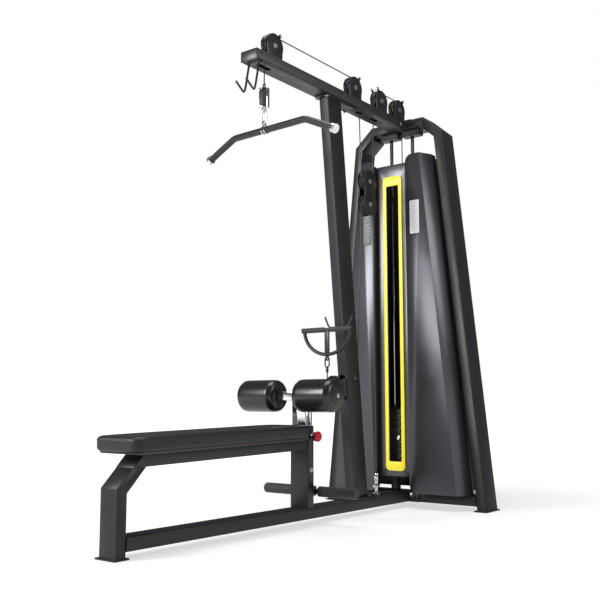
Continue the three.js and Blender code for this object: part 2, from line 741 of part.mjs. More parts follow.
function topPlate() {
  const z0 = stackTop - PLATE_GAP + GAP;
  const z1 = z0 + TOP_PLATE_HEIGHT;
  const plate = acrossZ(
    roundedOutline(
      -PLATE_HALF_WIDTH, PLATE_HALF_WIDTH, ROD_Y - PLATE_HALF_DEPTH, ROD_Y + PLATE_HALF_DEPTH, 8,
    ), z0, z1, 0, 2,
  );
  const collars = [-ROD_X, ROD_X].map((x) => rodZ(20, z1 - 1, z1 + 22, x, ROD_Y, 16));
  const holes = [-ROD_X, ROD_X].map((x) => rodZ(ROD_RADIUS + 2, z0 - 5, z1 + 30, x, ROD_Y, 12));
  const selectorHole = rodZ(SELECTOR_RADIUS + 1, z0 - 5, z1 + 5, 0, ROD_Y, 12);
  return cut(join(plate, ...collars), ...holes, selectorHole);
}

function selectorRod() {
  const top = stackTop + TOP_PLATE_HEIGHT;
  const rod = join(
    rodZ(SELECTOR_RADIUS, STACK_BOTTOM + 4, top, 0, ROD_Y, 12),
    rodZ(17, top - 1, top + 14, 0, ROD_Y, 6),
    rodZ(9, top + 10, top + 42, 0, ROD_Y, 12),
  );
  const holes = [];
  for (let i = 0; i < RESTING_PLATES + LIFTED_PLATES; i += 1) {
    const z = STACK_BOTTOM + i * PLATE_PITCH + (PLATE_PITCH - PLATE_GAP) / 2;
    holes.push(rodY(PIN_RADIUS + 1, ROD_Y - 20, ROD_Y + 20, 0, z, 6));
  }
  return cut(rod, ...holes);
}

function selectorPin() {
  const head = ROD_Y - PLATE_HALF_DEPTH - 4;
  return join(
    rodY(PIN_RADIUS, head - 1, ROD_Y + 18, 0, pinZ, 12),
    rodY(8, head - 6, head, 0, pinZ, 16),
    rodY(11, head - 28, head - 5, 0, pinZ, 16),
  );
}

// ---------------------------------------------------------------- pulleys
function pulley(y, z) {
  const half = PULLEY_HALF_WIDTH;
  const groove = PITCH_RADIUS - CABLE_RADIUS - 1.5;
  return turnedOnX([
    [AXLE_RADIUS + 0.6, -half],
    [18, -half],
    [PULLEY_RADIUS, -half + 3],
    [PULLEY_RADIUS, -half + 5],
    [groove, -4],
    [groove, 4],
    [PULLEY_RADIUS, half - 5],
    [PULLEY_RADIUS, half - 3],
    [18, half],
    [AXLE_RADIUS + 0.6, half],
    [AXLE_RADIUS + 0.6, -half],
  ], y, z, 20);
}

function cheekPair(shape, curveSegments = 5) {
  return [
    acrossX(shape, CHEEK_INNER, CHEEK_OUTER, 0, curveSegments),
    acrossX(shape, -CHEEK_OUTER, -CHEEK_INNER, 0, curveSegments),
  ];
}

function axleWithHeads(y, z, outer = CHEEK_OUTER) {
  return [
    rodX(AXLE_RADIUS, -outer - 1, outer + 1, y, z, 10),
    hexHeadX(outer - 1, outer + 8, y, z),
    hexHeadX(-outer - 8, -outer + 1, y, z),
  ];
}

function boomBracket(y, keeperSide) {
  const half = 46.5;
  const rise = 10;
  const z = BOOM_PULLEY_Z;
  const arch = new THREE.Shape();
  arch.moveTo(y - half, BOOM_TOP + GAP);
  arch.lineTo(y + half, BOOM_TOP + GAP);
  arch.lineTo(y + half, z + rise);
  arch.absarc(y, z + rise, half, 0, Math.PI, false);
  const keeper = { y: y + keeperSide * 39, z: z + 62 };
  const root = { y: y + keeperSide * 22, z: z + 40 };
  const along = directionOf([root.y, root.z], [keeper.y, keeper.z]);
  const across = [-along[1] * 8, along[0] * 8];
  const ear = outline([
    [root.y - across[0], root.z - across[1]],
    [keeper.y - across[0], keeper.z - across[1]],
    [keeper.y + along[0] * 8, keeper.z + along[1] * 8],
    [keeper.y + across[0], keeper.z + across[1]],
    [root.y + across[0], root.z + across[1]],
  ]);
  return join(
    ...cheekPair(arch),
    ...cheekPair(ear),
    ...axleWithHeads(y, z),
    rodX(4, -CHEEK_OUTER - 4, CHEEK_OUTER + 4, keeper.y, keeper.z, 8),
  );
}

function floatingBlock() {
  const reach = 62;
  const waist = 50;
  const cheeks = [BLOCK_UPPER_Z, BLOCK_LOWER_Z].flatMap((z) => [
    rodX(reach, CHEEK_INNER, CHEEK_OUTER, BLOCK_Y, z, 24),
    rodX(reach, -CHEEK_OUTER, -CHEEK_INNER, BLOCK_Y, z, 24),
  ]);
  const webs = cheekPair(outline([
    [BLOCK_Y - waist, BLOCK_LOWER_Z],
    [BLOCK_Y + waist, BLOCK_LOWER_Z],
    [BLOCK_Y + waist, BLOCK_UPPER_Z],
    [BLOCK_Y - waist, BLOCK_UPPER_Z],
  ]));
  return join(
    ...cheeks, ...webs, ...axleWithHeads(BLOCK_Y, BLOCK_UPPER_Z), ...axleWithHeads(BLOCK_Y, BLOCK_LOWER_Z),
  );
}

// The cheeks and the axle of the row pulley that stands ahead of the mast.
function rowFrontBracket() {
  const { y, z } = ROW_FRONT;
  const shape = outline([
    [y - 26, z - 22],
    [mastFrontY(z - 44) + 1, z - 44],
    [mastFrontY(z + 50) + 1, z + 50],
    [y - 8, z + 30],
    [y - 26, z + 12],
  ]);
  return [...cheekPair(shape), ...axleWithHeads(y, z)];
}

// ---------------------------------------------------------------- cables
// Each stop on a route is a circle that the cable turns round. A clockwise turn has side 1, an
// anticlockwise turn has side -1, and an end point is a circle of no radius.
function cableRoute(stops) {
  const angles = [];
  for (let i = 0; i < stops.length - 1; i += 1) {
    const [a, b] = [stops[i], stops[i + 1]];
    const heading = Math.atan2(b.z - a.z, b.y - a.y);
    const spread = (a.side * a.radius - b.side * b.radius) / Math.hypot(b.y - a.y, b.z - a.z);
    angles.push(heading - Math.asin(THREE.MathUtils.clamp(spread, -1, 1)));
  }
  const points = [];
  const touch = (stop, angle) => points.push(inSideView(
    stop.y - stop.side * stop.radius * Math.sin(angle),
    stop.z + stop.side * stop.radius * Math.cos(angle),
  ));
  stops.forEach((stop, i) => {
    const into = angles[Math.max(i - 1, 0)];
    let out = angles[Math.min(i, angles.length - 1)];
    if (stop.radius === 0) {
      touch(stop, into);
      return;
    }
    while (stop.side * (out - into) > 0) out -= stop.side * 2 * Math.PI;
    const steps = Math.max(2, Math.ceil(Math.abs(out - into) / (Math.PI / 9)));
    for (let k = 0; k <= steps; k += 1) touch(stop, into + ((out - into) * k) / steps);
  });
  return points.filter((point, i) => i === 0 || point.distanceTo(points[i - 1]) > 0.1);
}

const turn = (y, z, side) => ({ y, z, side, radius: PITCH_RADIUS });
const end = (y, z) => ({ y, z, side: 1, radius: 0 });

const MIDDLE_DROP_Y = BOOM_PULLEYS.boom_middle + PITCH_RADIUS;
const REAR_DROP_Y = BOOM_PULLEYS.boom_rear - PITCH_RADIUS;
const ROW_RISE_Y = ROW_MAST.y + PITCH_RADIUS;
const PIECE_GAP = 0.5;

// The lat cable, from the hanger over the boom and under the block to the stack, in the pieces
// that move apart: the two ends grow and shrink, and the loop follows the floating block.
function hangerCable() {
  return rodZ(CABLE_RADIUS, 2020 + GAP, BOOM_PULLEY_Z - PIECE_GAP, 0, HANGER_Y, 8);
}

function boomFrontCable() {
  return sweep(cableRoute([
    end(HANGER_Y, BOOM_PULLEY_Z),
    turn(BOOM_PULLEYS.boom_front, BOOM_PULLEY_Z, 1),
    turn(BOOM_PULLEYS.boom_middle, BOOM_PULLEY_Z, 1),
    end(MIDDLE_DROP_Y, BOOM_PULLEY_Z),
  ]), CABLE_RADIUS);
}

function blockLatCable() {
  return sweep(cableRoute([
    end(MIDDLE_DROP_Y, BOOM_PULLEY_Z - PIECE_GAP),
    turn(BLOCK_Y, BLOCK_UPPER_Z, -1),
    end(REAR_DROP_Y, BOOM_PULLEY_Z - PIECE_GAP),
  ]), CABLE_RADIUS);
}

function boomRearCable() {
  return sweep(cableRoute([
    end(REAR_DROP_Y, BOOM_PULLEY_Z),
    turn(BOOM_PULLEYS.boom_rear, BOOM_PULLEY_Z, 1),
    turn(BOOM_PULLEYS.stack, BOOM_PULLEY_Z, 1),
    end(ROD_Y, BOOM_PULLEY_Z),
  ]), CABLE_RADIUS);
}

function stackCable() {
  const selectorTop = stackTop + TOP_PLATE_HEIGHT + 42;
  return rodZ(CABLE_RADIUS, selectorTop + GAP, BOOM_PULLEY_Z - PIECE_GAP, 0, ROD_Y, 8);
}

// The row cable, from the handle through the mast and over the block to the stud on the base.
function rowHandleCable() {
  return rodZ(CABLE_RADIUS, ROW_FRONT.z + PIECE_GAP, 701 - GAP, 0, ROW_HANDLE_Y, 8);
}

function rowMastCable() {
  return sweep(cableRoute([
    end(ROW_HANDLE_Y, ROW_FRONT.z),
    turn(ROW_FRONT.y, ROW_FRONT.z, -1),
    turn(ROW_MAST.y, ROW_MAST.z, -1),
    end(ROW_RISE_Y, ROW_MAST.z),
  ]), CABLE_RADIUS);
}

function blockRowCable() {
  return sweep(cableRoute([
    end(ROW_RISE_Y, ROW_MAST.z + PIECE_GAP),
    turn(BLOCK_Y, BLOCK_LOWER_Z, 1),
    end(ANCHOR_Y, ANCHOR_TOP + GAP),
  ]), CABLE_RADIUS);
}

function anchorStud() {
  return join(
    rodZ(8, BASE_TOP + GAP, ANCHOR_TOP, 0, ANCHOR_Y, 14),
    rodZ(17, BASE_TOP + GAP, BASE_TOP + 14, 0, ANCHOR_Y, 6),
    rodZ(17, 118, 130, 0, ANCHOR_Y, 6),
    rodZ(11, ANCHOR_TOP - 36, ANCHOR_TOP - 2, 0, ANCHOR_Y, 14),
  );
}

// ---------------------------------------------------------------- thigh rollers and foot pegs
function thighPost() {
  const y0 = POST_FRONT + (POST_DEPTH - THIGH_POST_DEPTH) / 2;
  const half = THIGH_POST_HALF_WIDTH;
  const top = ROLLER_Z + 21;
  const post = acrossZ(roundedOutline(-half, half, y0, y0 + THIGH_POST_DEPTH, 4), 196, top, 0, 2);
  const hollow = box(
    -half + WALL, half - WALL, y0 + WALL, y0 + THIGH_POST_DEPTH - WALL, 150, ROLLER_Z - 30,
  );
  const arm = box(-25, 25, ROLLER_Y, y0 + 1, ROLLER_Z - 21, ROLLER_Z + 21);
  const cross = acrossX(
    roundedOutline(ROLLER_Y - 21, ROLLER_Y + 21, ROLLER_Z - 21, ROLLER_Z + 21, 4), -54, 54, 0, 2,
  );
  const axle = rodX(
    ROLLER_AXLE_RADIUS, -ROLLER_INNER_X - ROLLER_LENGTH + 4, ROLLER_INNER_X + ROLLER_LENGTH - 4,
    ROLLER_Y, ROLLER_Z, 16,
  );
  const holes = [];
  for (let i = 0; i < 6; i += 1) holes.push(rodX(5.5, half - 10, half + 10, KNOB_Y, 361 + 20 * i, 10));
  return cut(join(cut(post, hollow), arm, cross, axle), ...holes);
}

function roller(side) {
  const bore = ROLLER_AXLE_RADIUS + 0.6;
  const x0 = ROLLER_INNER_X;
  const x1 = x0 + ROLLER_LENGTH;
  const profile = [
    [bore, x0],
    [46, x0],
    [66, x0 + 5],
    [ROLLER_RADIUS - 2, x0 + 14],
    [ROLLER_RADIUS, x0 + 22],
    [ROLLER_RADIUS, x1 - 22],
    [ROLLER_RADIUS - 2, x1 - 14],
    [66, x1 - 5],
    [46, x1],
    [bore, x1],
    [bore, x0],
  ];
  const placed = side > 0 ? profile : profile.map(([r, x]) => [r, -x]).reverse();
  return turnedOnX(placed, ROLLER_Y, ROLLER_Z, 24);
}

function pegSleeve(side) {
  const bore = PEG_ROD_RADIUS + GAP;
  const profile = [
    [bore, PEG_INNER_X],
    [PEG_RADIUS, PEG_INNER_X],
    [PEG_RADIUS, PEG_OUTER_X - 6],
    [PEG_RADIUS - 4, PEG_OUTER_X + 3],
    [0, PEG_OUTER_X + 3],
    [0, PEG_OUTER_X - 1.5],
    [bore, PEG_OUTER_X - 1.5],
    [bore, PEG_INNER_X],
  ];
  const placed = side > 0 ? profile : profile.map(([r, x]) => [r, -x]).reverse();
  return turnedOnX(placed, PEG_Y, PEG_Z, 16);
}

function pullPin() {
  const tip = THIGH_POST_HALF_WIDTH + 0.6;
  const collar = POST_HALF_WIDTH + 12 + GAP;
  return turnedOnX([
    [0, tip],
    [5, tip],
    [5, collar],
    [20, collar],
    [22, collar + 3],
    [22, collar + 12],
    [17, collar + 14],
    [17, collar + 18],
    [24, collar + 20],
    [24, collar + 31],
    [19, collar + 35],
    [0, collar + 36],
  ], KNOB_Y, KNOB_Z, 16);
}

// ---------------------------------------------------------------- lat bar and its hanger
const EYE_RADIUS = 11;
const EYE_WIRE = 4;
const HANGER_EYE_Z = 1893;
const BAR_EYE_Z = LAT_BAR_Z + LAT_BAR_RADIUS + EYE_RADIUS + 5;

function ringInSideView(y, z, radius, wire) {
  return new THREE.TorusGeometry(radius, wire, 6, 12).rotateY(Math.PI / 2).translate(0, y, z);
}

function latStop() {
  const body = turnedOnZ([
    [0, 1906],
    [14, 1906],
    [23, 1914],
    [23, 1983],
    [15, 1992],
    [7, 1995],
    [11, 2002],
    [11, 2010],
    [6, 2016],
    [5, 2020],
    [0, 2020],
  ], 0, HANGER_Y, 14);
  return join(body, ringInSideView(HANGER_Y, HANGER_EYE_Z, EYE_RADIUS, EYE_WIRE));
}

// A closed snap hook: two straight sides and two half rounds, in the front view.
function snapHook(y, lowZ, highZ, halfWidth, wire) {
  const front = (x, z) => new THREE.Vector3(x, y, z);
  const loop = [
    ...arc([0, highZ - halfWidth], halfWidth, 0, Math.PI, 8, front),
    ...arc([0, lowZ + halfWidth], halfWidth, Math.PI, 2 * Math.PI, 8, front),
  ];
  const length = loop.length;
  const side = 6;
  const positions = [];
  const faces = [];
  loop.forEach((point, i) => {
    const before = loop[(i + length - 1) % length];
    const after = loop[(i + 1) % length];
    const tangent = new THREE.Vector3().subVectors(after, before).normalize();
    const outward = new THREE.Vector3(tangent.z, 0, -tangent.x);
    for (let k = 0; k < side; k += 1) {
      const angle = (k / side) * Math.PI * 2;
      const place = point.clone().addScaledVector(outward, wire * Math.cos(angle));
      positions.push(place.x, place.y + wire * Math.sin(angle), place.z);
      const [nextRing, nextSide] = [((i + 1) % length) * side, (k + 1) % side];
      const [a, b] = [i * side + k, i * side + nextSide];
      const [c, d] = [nextRing + nextSide, nextRing + k];
      faces.push(a, b, c, a, c, d);
    }
  });
  const geometry = new THREE.BufferGeometry();
  geometry.setAttribute('position', new THREE.BufferAttribute(new Float32Array(positions), 3));
  geometry.setIndex(faces);
  return geometry;
}

function latLink() {
  return snapHook(HANGER_Y, BAR_EYE_Z + 2, HANGER_EYE_Z - 2, 14, 3.5);
}

function latBar() {
  const drop = LAT_BAR_END * Math.sin(LAT_BAR_DROOP);
  const reach = LAT_BAR_END * Math.cos(LAT_BAR_DROOP);
  const bend = 26;
  const half = LAT_BAR_HALF;
  const slope = [Math.cos(LAT_BAR_DROOP), Math.sin(LAT_BAR_DROOP)];
  const rightSide = [
    [half - bend, 0],
    [half - bend * 0.3, -1.6],
    [half + bend * 0.3 * slope[0], -bend * 0.3 * slope[1] - 2.4],
    [half + bend * slope[0], -bend * slope[1]],
    [half + reach, -drop],
  ];
  const leftSide = rightSide.map(([x, z]) => [-x, z]).reverse();
  const points = [...leftSide, ...rightSide].map(([x, z]) => new THREE.Vector3(x + LAT_BAR_OFFSET, 0, z));
  const bar = sweep(points, LAT_BAR_RADIUS, 12);
  const collar = rodX(LAT_BAR_RADIUS + 4, -16, 16, 0, 0, 16);
  const placed = join(bar, collar)
    .rotateY(LAT_BAR_TILT)
    .rotateZ(LAT_BAR_YAW)
    .translate(0, HANGER_Y, LAT_BAR_Z);
  return join(placed, ringInSideView(HANGER_Y, BAR_EYE_Z, EYE_RADIUS, EYE_WIRE));
}

// ---------------------------------------------------------------- row handle
const ROW_PIVOT_Z = ROW_HANDLE_Z - ROW_HANDLE_DROP;
const ROW_EYE_Z = ROW_PIVOT_Z - 17;

function rowHandle() {
  const front = (x, z) => new THREE.Vector3(x, ROW_HANDLE_Y, z);
  const wide = ROW_HANDLE_HALF;
  const steps = 12;
  const curve = [];
  for (let i = 0; i <= steps; i += 1) {
    const angle = Math.PI + (Math.PI * i) / steps;
    curve.push(front(wide * Math.cos(angle), ROW_HANDLE_Z + ROW_HANDLE_DROP * Math.sin(angle)));
  }
  const grip = rodX(ROW_GRIP_RADIUS, -wide - 12, wide + 12, ROW_HANDLE_Y, ROW_HANDLE_Z, 12);
  const bow = sweep(curve, 9, 8);
  const strap = box(-13, 13, ROW_HANDLE_Y - 4, ROW_HANDLE_Y + 4, ROW_PIVOT_Z + 2, ROW_HANDLE_Z);
  const eye = ringInSideView(ROW_HANDLE_Y, ROW_EYE_Z, EYE_RADIUS, EYE_WIRE);
  return join(grip, bow, strap, eye);
}

function rowLink() {
  const hook = snapHook(ROW_HANDLE_Y, 728, ROW_EYE_Z + 2, 12, 3.5);
  const ferrule = rodZ(7, 701, 729.5, 0, ROW_HANDLE_Y, 12);
  return join(hook, ferrule);
}

// ---------------------------------------------------------------- assembly
function part(name, geometry, look) {
  const material = new THREE.MeshStandardMaterial(look);
  const mesh = new THREE.Mesh(geometry, material);
  mesh.name = name;
  return mesh;
}

function machine() {
  const group = new THREE.Group();
  const add = (name, geometry, look) => group.add(part(name, geometry, look));

  add('base_beam', baseBeam(), POWDER_COAT);
  add('front_leg', frontLeg(), POWDER_COAT);
  add('seat_rail', seatRail(), POWDER_COAT);
  add('rear_post', rearPost(), POWDER_COAT);
  add('seat_board', seatBoard(), PLYWOOD);
  add('seat_cushion', seatCushion(), VINYL_BLACK);

  add('mast', mast(), POWDER_COAT);
  add('boom', boom(), POWDER_COAT);
  add('boom_hooks', boomHooks(), CHROME);
  add('mast_prongs', mastProngs(), CHROME);

  [['left', -1], ['right', 1]].forEach(([hand, side]) => {
    add(`${hand}_upright`, upright(side), POWDER_COAT);
    add(`${hand}_guide_rod`, guideRod(side), CHROME);
    add(`${hand}_bumper`, bumper(side), RUBBER_BLACK);
    add(`${hand}_shroud`, sideShroud(side), SHROUD_GREY);
    add(`${hand}_roller`, roller(side), VINYL_BLACK);
    add(`${hand}_peg_sleeve`, pegSleeve(side), RUBBER_BLACK);
  });
  add('top_bar', topBar(), POWDER_COAT);
  add('base_crossbeam', baseCrossbeam(), POWDER_COAT);
  add('centre_panel', centrePanel(), SHROUD_GREY);
  add('window_frame', windowFrame(), SIGNAL_YELLOW);

  add('resting_plates', platePack(STACK_BOTTOM, RESTING_PLATES), CAST_BLACK);
  add('lifted_plates', platePack(liftedBottom, LIFTED_PLATES), CAST_BLACK);
  add('top_plate', topPlate(), CAST_BLACK);
  add('selector_rod', selectorRod(), CHROME);
  add('selector_pin', selectorPin(), CHROME);

  Object.entries(BOOM_PULLEYS).forEach(([place, y]) => {
    add(`${place}_pulley`, pulley(y, BOOM_PULLEY_Z), NYLON_BLACK);
    add(`${place}_bracket`, boomBracket(y, place === 'boom_rear' ? -1 : 1), POWDER_COAT);
  });
  add('floating_block', floatingBlock(), POWDER_COAT);
  add('block_upper_pulley', pulley(BLOCK_Y, BLOCK_UPPER_Z), NYLON_BLACK);
  add('block_lower_pulley', pulley(BLOCK_Y, BLOCK_LOWER_Z), NYLON_BLACK);
  add('row_front_pulley', pulley(ROW_FRONT.y, ROW_FRONT.z), NYLON_BLACK);
  add('row_mast_pulley', pulley(ROW_MAST.y, ROW_MAST.z), NYLON_BLACK);
  add('anchor_stud', anchorStud(), CHROME);
  add('hanger_cable', hangerCable(), RUBBER_BLACK);
  add('boom_front_cable', boomFrontCable(), RUBBER_BLACK);
  add('block_lat_cable', blockLatCable(), RUBBER_BLACK);
  add('boom_rear_cable', boomRearCable(), RUBBER_BLACK);
  add('stack_cable', stackCable(), RUBBER_BLACK);
  add('row_handle_cable', rowHandleCable(), RUBBER_BLACK);
  add('row_mast_cable', rowMastCable(), RUBBER_BLACK);
  add('block_row_cable', blockRowCable(), RUBBER_BLACK);

  add('thigh_post', thighPost(), CHROME);
  add('pull_pin', pullPin(), KNOB_RED);

  add('lat_stop', latStop(), RUBBER_BLACK);
  add('lat_link', latLink(), CHROME);
  add('lat_bar', latBar(), POWDER_COAT);
  add('row_handle', rowHandle(), RUBBER_BLACK);
  add('row_link', rowLink(), CHROME);

  group.position.set(0, -MIDDLE_Y, 0);
  return group;
}

export default machine();
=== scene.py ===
"""Looks of the lat pulldown and low row machine, built round its CAD frame.

Sizes are laid out in millimetres from the front leg's front face, and at() turns them into the
frame's metres. Kept CAD nodes get a finish and a softened edge; the rest are made again here.
"""

import logging
import math
from dataclasses import dataclass
from enum import Enum
from typing import Iterable, Sequence

import bmesh
import bpy
from mathutils import Matrix, Vector


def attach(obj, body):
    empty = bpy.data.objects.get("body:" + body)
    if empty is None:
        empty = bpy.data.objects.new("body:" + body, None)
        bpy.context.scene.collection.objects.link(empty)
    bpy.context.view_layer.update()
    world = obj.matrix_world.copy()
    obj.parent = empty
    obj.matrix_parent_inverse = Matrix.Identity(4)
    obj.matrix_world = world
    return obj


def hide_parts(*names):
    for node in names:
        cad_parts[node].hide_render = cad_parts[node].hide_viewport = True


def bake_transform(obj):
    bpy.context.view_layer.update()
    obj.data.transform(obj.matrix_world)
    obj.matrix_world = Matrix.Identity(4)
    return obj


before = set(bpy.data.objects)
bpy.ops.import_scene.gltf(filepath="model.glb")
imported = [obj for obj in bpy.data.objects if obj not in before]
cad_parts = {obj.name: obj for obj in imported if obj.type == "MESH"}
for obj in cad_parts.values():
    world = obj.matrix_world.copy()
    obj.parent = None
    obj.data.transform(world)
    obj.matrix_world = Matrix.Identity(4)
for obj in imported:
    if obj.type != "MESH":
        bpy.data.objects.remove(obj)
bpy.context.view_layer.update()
LOG = logging.getLogger("machine")

MIDDLE_Y = 1080.0
MM = 0.001
PITCH_RADIUS = 55.0
BOOM_AXLE_Z = 2216.0


class Axis(Enum):
    """The frame axis that a turned or extruded shape runs along."""

    X = Vector((1, 0, 0))
    Y = Vector((0, 1, 0))
    Z = Vector((0, 0, 1))


X, Y, Z = Axis.X.value, Axis.Y.value, Axis.Z.value


def at(x: float, y: float, z: float) -> Vector:
    """Turns a point of the layout, in millimetres, into one of the frame, in metres.

    Args:
        x: across the machine, 0 in its middle plane.
        y: from the front leg's front face towards the tower.
        z: above the floor.

    Returns:
        The point in the frame.
    """
    return Vector((x * MM, (y - MIDDLE_Y) * MM, z * MM))


@dataclass(frozen=True)
class Axle:
    """Where a pulley turns, in layout millimetres."""

    y: float
    z: float

    def centre(self) -> Vector:
        """Returns the middle of the pulley."""
        return at(0, self.y, self.z)

    def rim(self, side: int) -> Vector:
        """Finds where a strand leaves the groove, level with the axle.

        Args:
            side: -1 for the pulley's front side and 1 for its back.

        Returns:
            The point on the strand's centreline.
        """
        return at(0, self.y + side * PITCH_RADIUS, self.z)


BOOM_FRONT = Axle(905, BOOM_AXLE_Z)
BOOM_MIDDLE = Axle(1578, BOOM_AXLE_Z)
BOOM_REAR = Axle(1836, BOOM_AXLE_Z)
OVER_STACK = Axle(2025, BOOM_AXLE_Z)
BLOCK_UPPER = Axle(1708, 1733)
BLOCK_LOWER = Axle(1708, 1608)
ROW_FRONT = Axle(1392, 628)
ROW_MAST = Axle(1545, 686)
LAT_Y = BOOM_FRONT.y - PITCH_RADIUS
ROW_Y = ROW_FRONT.y - PITCH_RADIUS


class Slot(Enum):
    """The record's material slots."""

    FRAME = "frame_paint"
    SHROUD = "shroud_paint"
    YELLOW = "window_yellow"
    IRON = "plate_iron"
    CHROME = "chrome"
    NYLON = "nylon"
    VINYL = "vinyl"
    RUBBER = "rubber"
    CABLE = "cable_coat"
    KNOB = "knob_red"
    PLYWOOD = "plywood"


# ------------------------------------------------------------------ shared shader effects
def new_group(name: str, inputs: dict[str, float], outputs: dict[str, str]) -> bpy.types.NodeTree:
    """Makes an empty shader group with named sockets.

    Args:
        name: the group's name.
        inputs: each number socket and its default.
        outputs: each output socket and its socket type.

    Returns:
        The group, holding only its input and output nodes.
    """
    group = bpy.data.node_groups.new(name, "ShaderNodeTree")
    for label, value in inputs.items():
        socket = group.interface.new_socket(label, in_out="INPUT", socket_type="NodeSocketFloat")
        socket.default_value = value
    group.interface.new_socket("Vector", in_out="INPUT", socket_type="NodeSocketVector")
    for label, kind in outputs.items():
        group.interface.new_socket(label, in_out="OUTPUT", socket_type=kind)
    group.nodes.new("NodeGroupInput").name = "In"
    group.nodes.new("NodeGroupOutput").name = "Out"
    return group


def noise(group: bpy.types.NodeTree, detail: float, roughness: float = 0.55) -> bpy.types.Node:
    """Adds a noise texture whose place comes from the group's own Vector socket.

    Args:
        group: the tree that it goes in.
        detail: how many finer layers it has.
        roughness: how strong the finer layers are.

    Returns:
        The noise node.
    """
    node = group.nodes.new("ShaderNodeTexNoise")
    node.inputs["Detail"].default_value = detail
    node.inputs["Roughness"].default_value = roughness
    group.links.new(group.nodes["In"].outputs["Vector"], node.inputs["Vector"])
    return node


def math_node(group: bpy.types.NodeTree, kind: str, a: object, b: object) -> bpy.types.NodeSocket:
    """Adds a Math node.

    Args:
        group: the tree that it goes in.
        kind: the operation.
        a: a socket or a number.
        b: a socket or a number.

    Returns:
        The node's output socket.
    """
    node = group.nodes.new("ShaderNodeMath")
    node.operation = kind
    for index, value in enumerate((a, b)):
        if isinstance(value, bpy.types.NodeSocket):
            group.links.new(value, node.inputs[index])
        else:
            node.inputs[index].default_value = value
    return node.outputs[0]


def grain_group() -> bpy.types.NodeTree:
    """Fine grain: a height for bumps and a number that varies over the surface."""
    group = new_group("surface_grain", {"Scale": 600.0, "Patch": 9.0}, {
        "Height": "NodeSocketFloat", "Variation": "NodeSocketFloat"})
    fine = noise(group, 3.0)
    group.links.new(group.nodes["In"].outputs["Scale"], fine.inputs["Scale"])
    patch = noise(group, 5.0, 0.6)
    group.links.new(group.nodes["In"].outputs["Patch"], patch.inputs["Scale"])
    fine_part = math_node(group, "MULTIPLY", fine.outputs["Fac"], 0.3)
    patch_part = math_node(group, "MULTIPLY", patch.outputs["Fac"], 0.7)
    both = math_node(group, "ADD", fine_part, patch_part)
    group.links.new(fine.outputs["Fac"], group.nodes["Out"].inputs["Height"])
    group.links.new(both, group.nodes["Out"].inputs["Variation"])
    return group


def scuff_group() -> bpy.types.NodeTree:
    """Handling marks and settled dust: a mask that is 0 on a clean surface and 1 on a worn one."""
    group = new_group("handling_wear", {"Amount": 0.4, "Scale": 14.0}, {"Mask": "NodeSocketFloat"})
    broad = noise(group, 6.0, 0.65)
    group.links.new(group.nodes["In"].outputs["Scale"], broad.inputs["Scale"])
    streak = noise(group, 2.0)
    streak.inputs["Scale"].default_value = 160.0
    peaks = math_node(group, "POWER", broad.outputs["Fac"], 5.0)
    broken = math_node(group, "MULTIPLY", peaks, streak.outputs["Fac"])
    strong = math_node(group, "MULTIPLY", broken, 9.0)
    worn = math_node(group, "MULTIPLY", strong, group.nodes["In"].outputs["Amount"])
    held = math_node(group, "MINIMUM", worn, 1.0)
    group.links.new(held, group.nodes["Out"].inputs["Mask"])
    return group


def hide_group() -> bpy.types.NodeTree:
    """The pebbled grain of upholstery vinyl: a height, low in the creases between pebbles."""
    group = new_group("vinyl_hide", {"Scale": 420.0}, {"Height": "NodeSocketFloat"})
    cells = group.nodes.new("ShaderNodeTexVoronoi")
    cells.feature = "SMOOTH_F1"
    group.links.new(group.nodes["In"].outputs["Vector"], cells.inputs["Vector"])
    group.links.new(group.nodes["In"].outputs["Scale"], cells.inputs["Scale"])
    folds = noise(group, 4.0)
    folds.inputs["Scale"].default_value = 26.0
    pebbles = math_node(group, "SUBTRACT", 1.0, cells.outputs["Distance"])
    soft = math_node(group, "MULTIPLY", folds.outputs["Fac"], 0.9)
    group.links.new(math_node(group, "ADD", pebbles, soft), group.nodes["Out"].inputs["Height"])
    return group


GRAIN = grain_group()
SCUFF = scuff_group()
HIDE = hide_group()


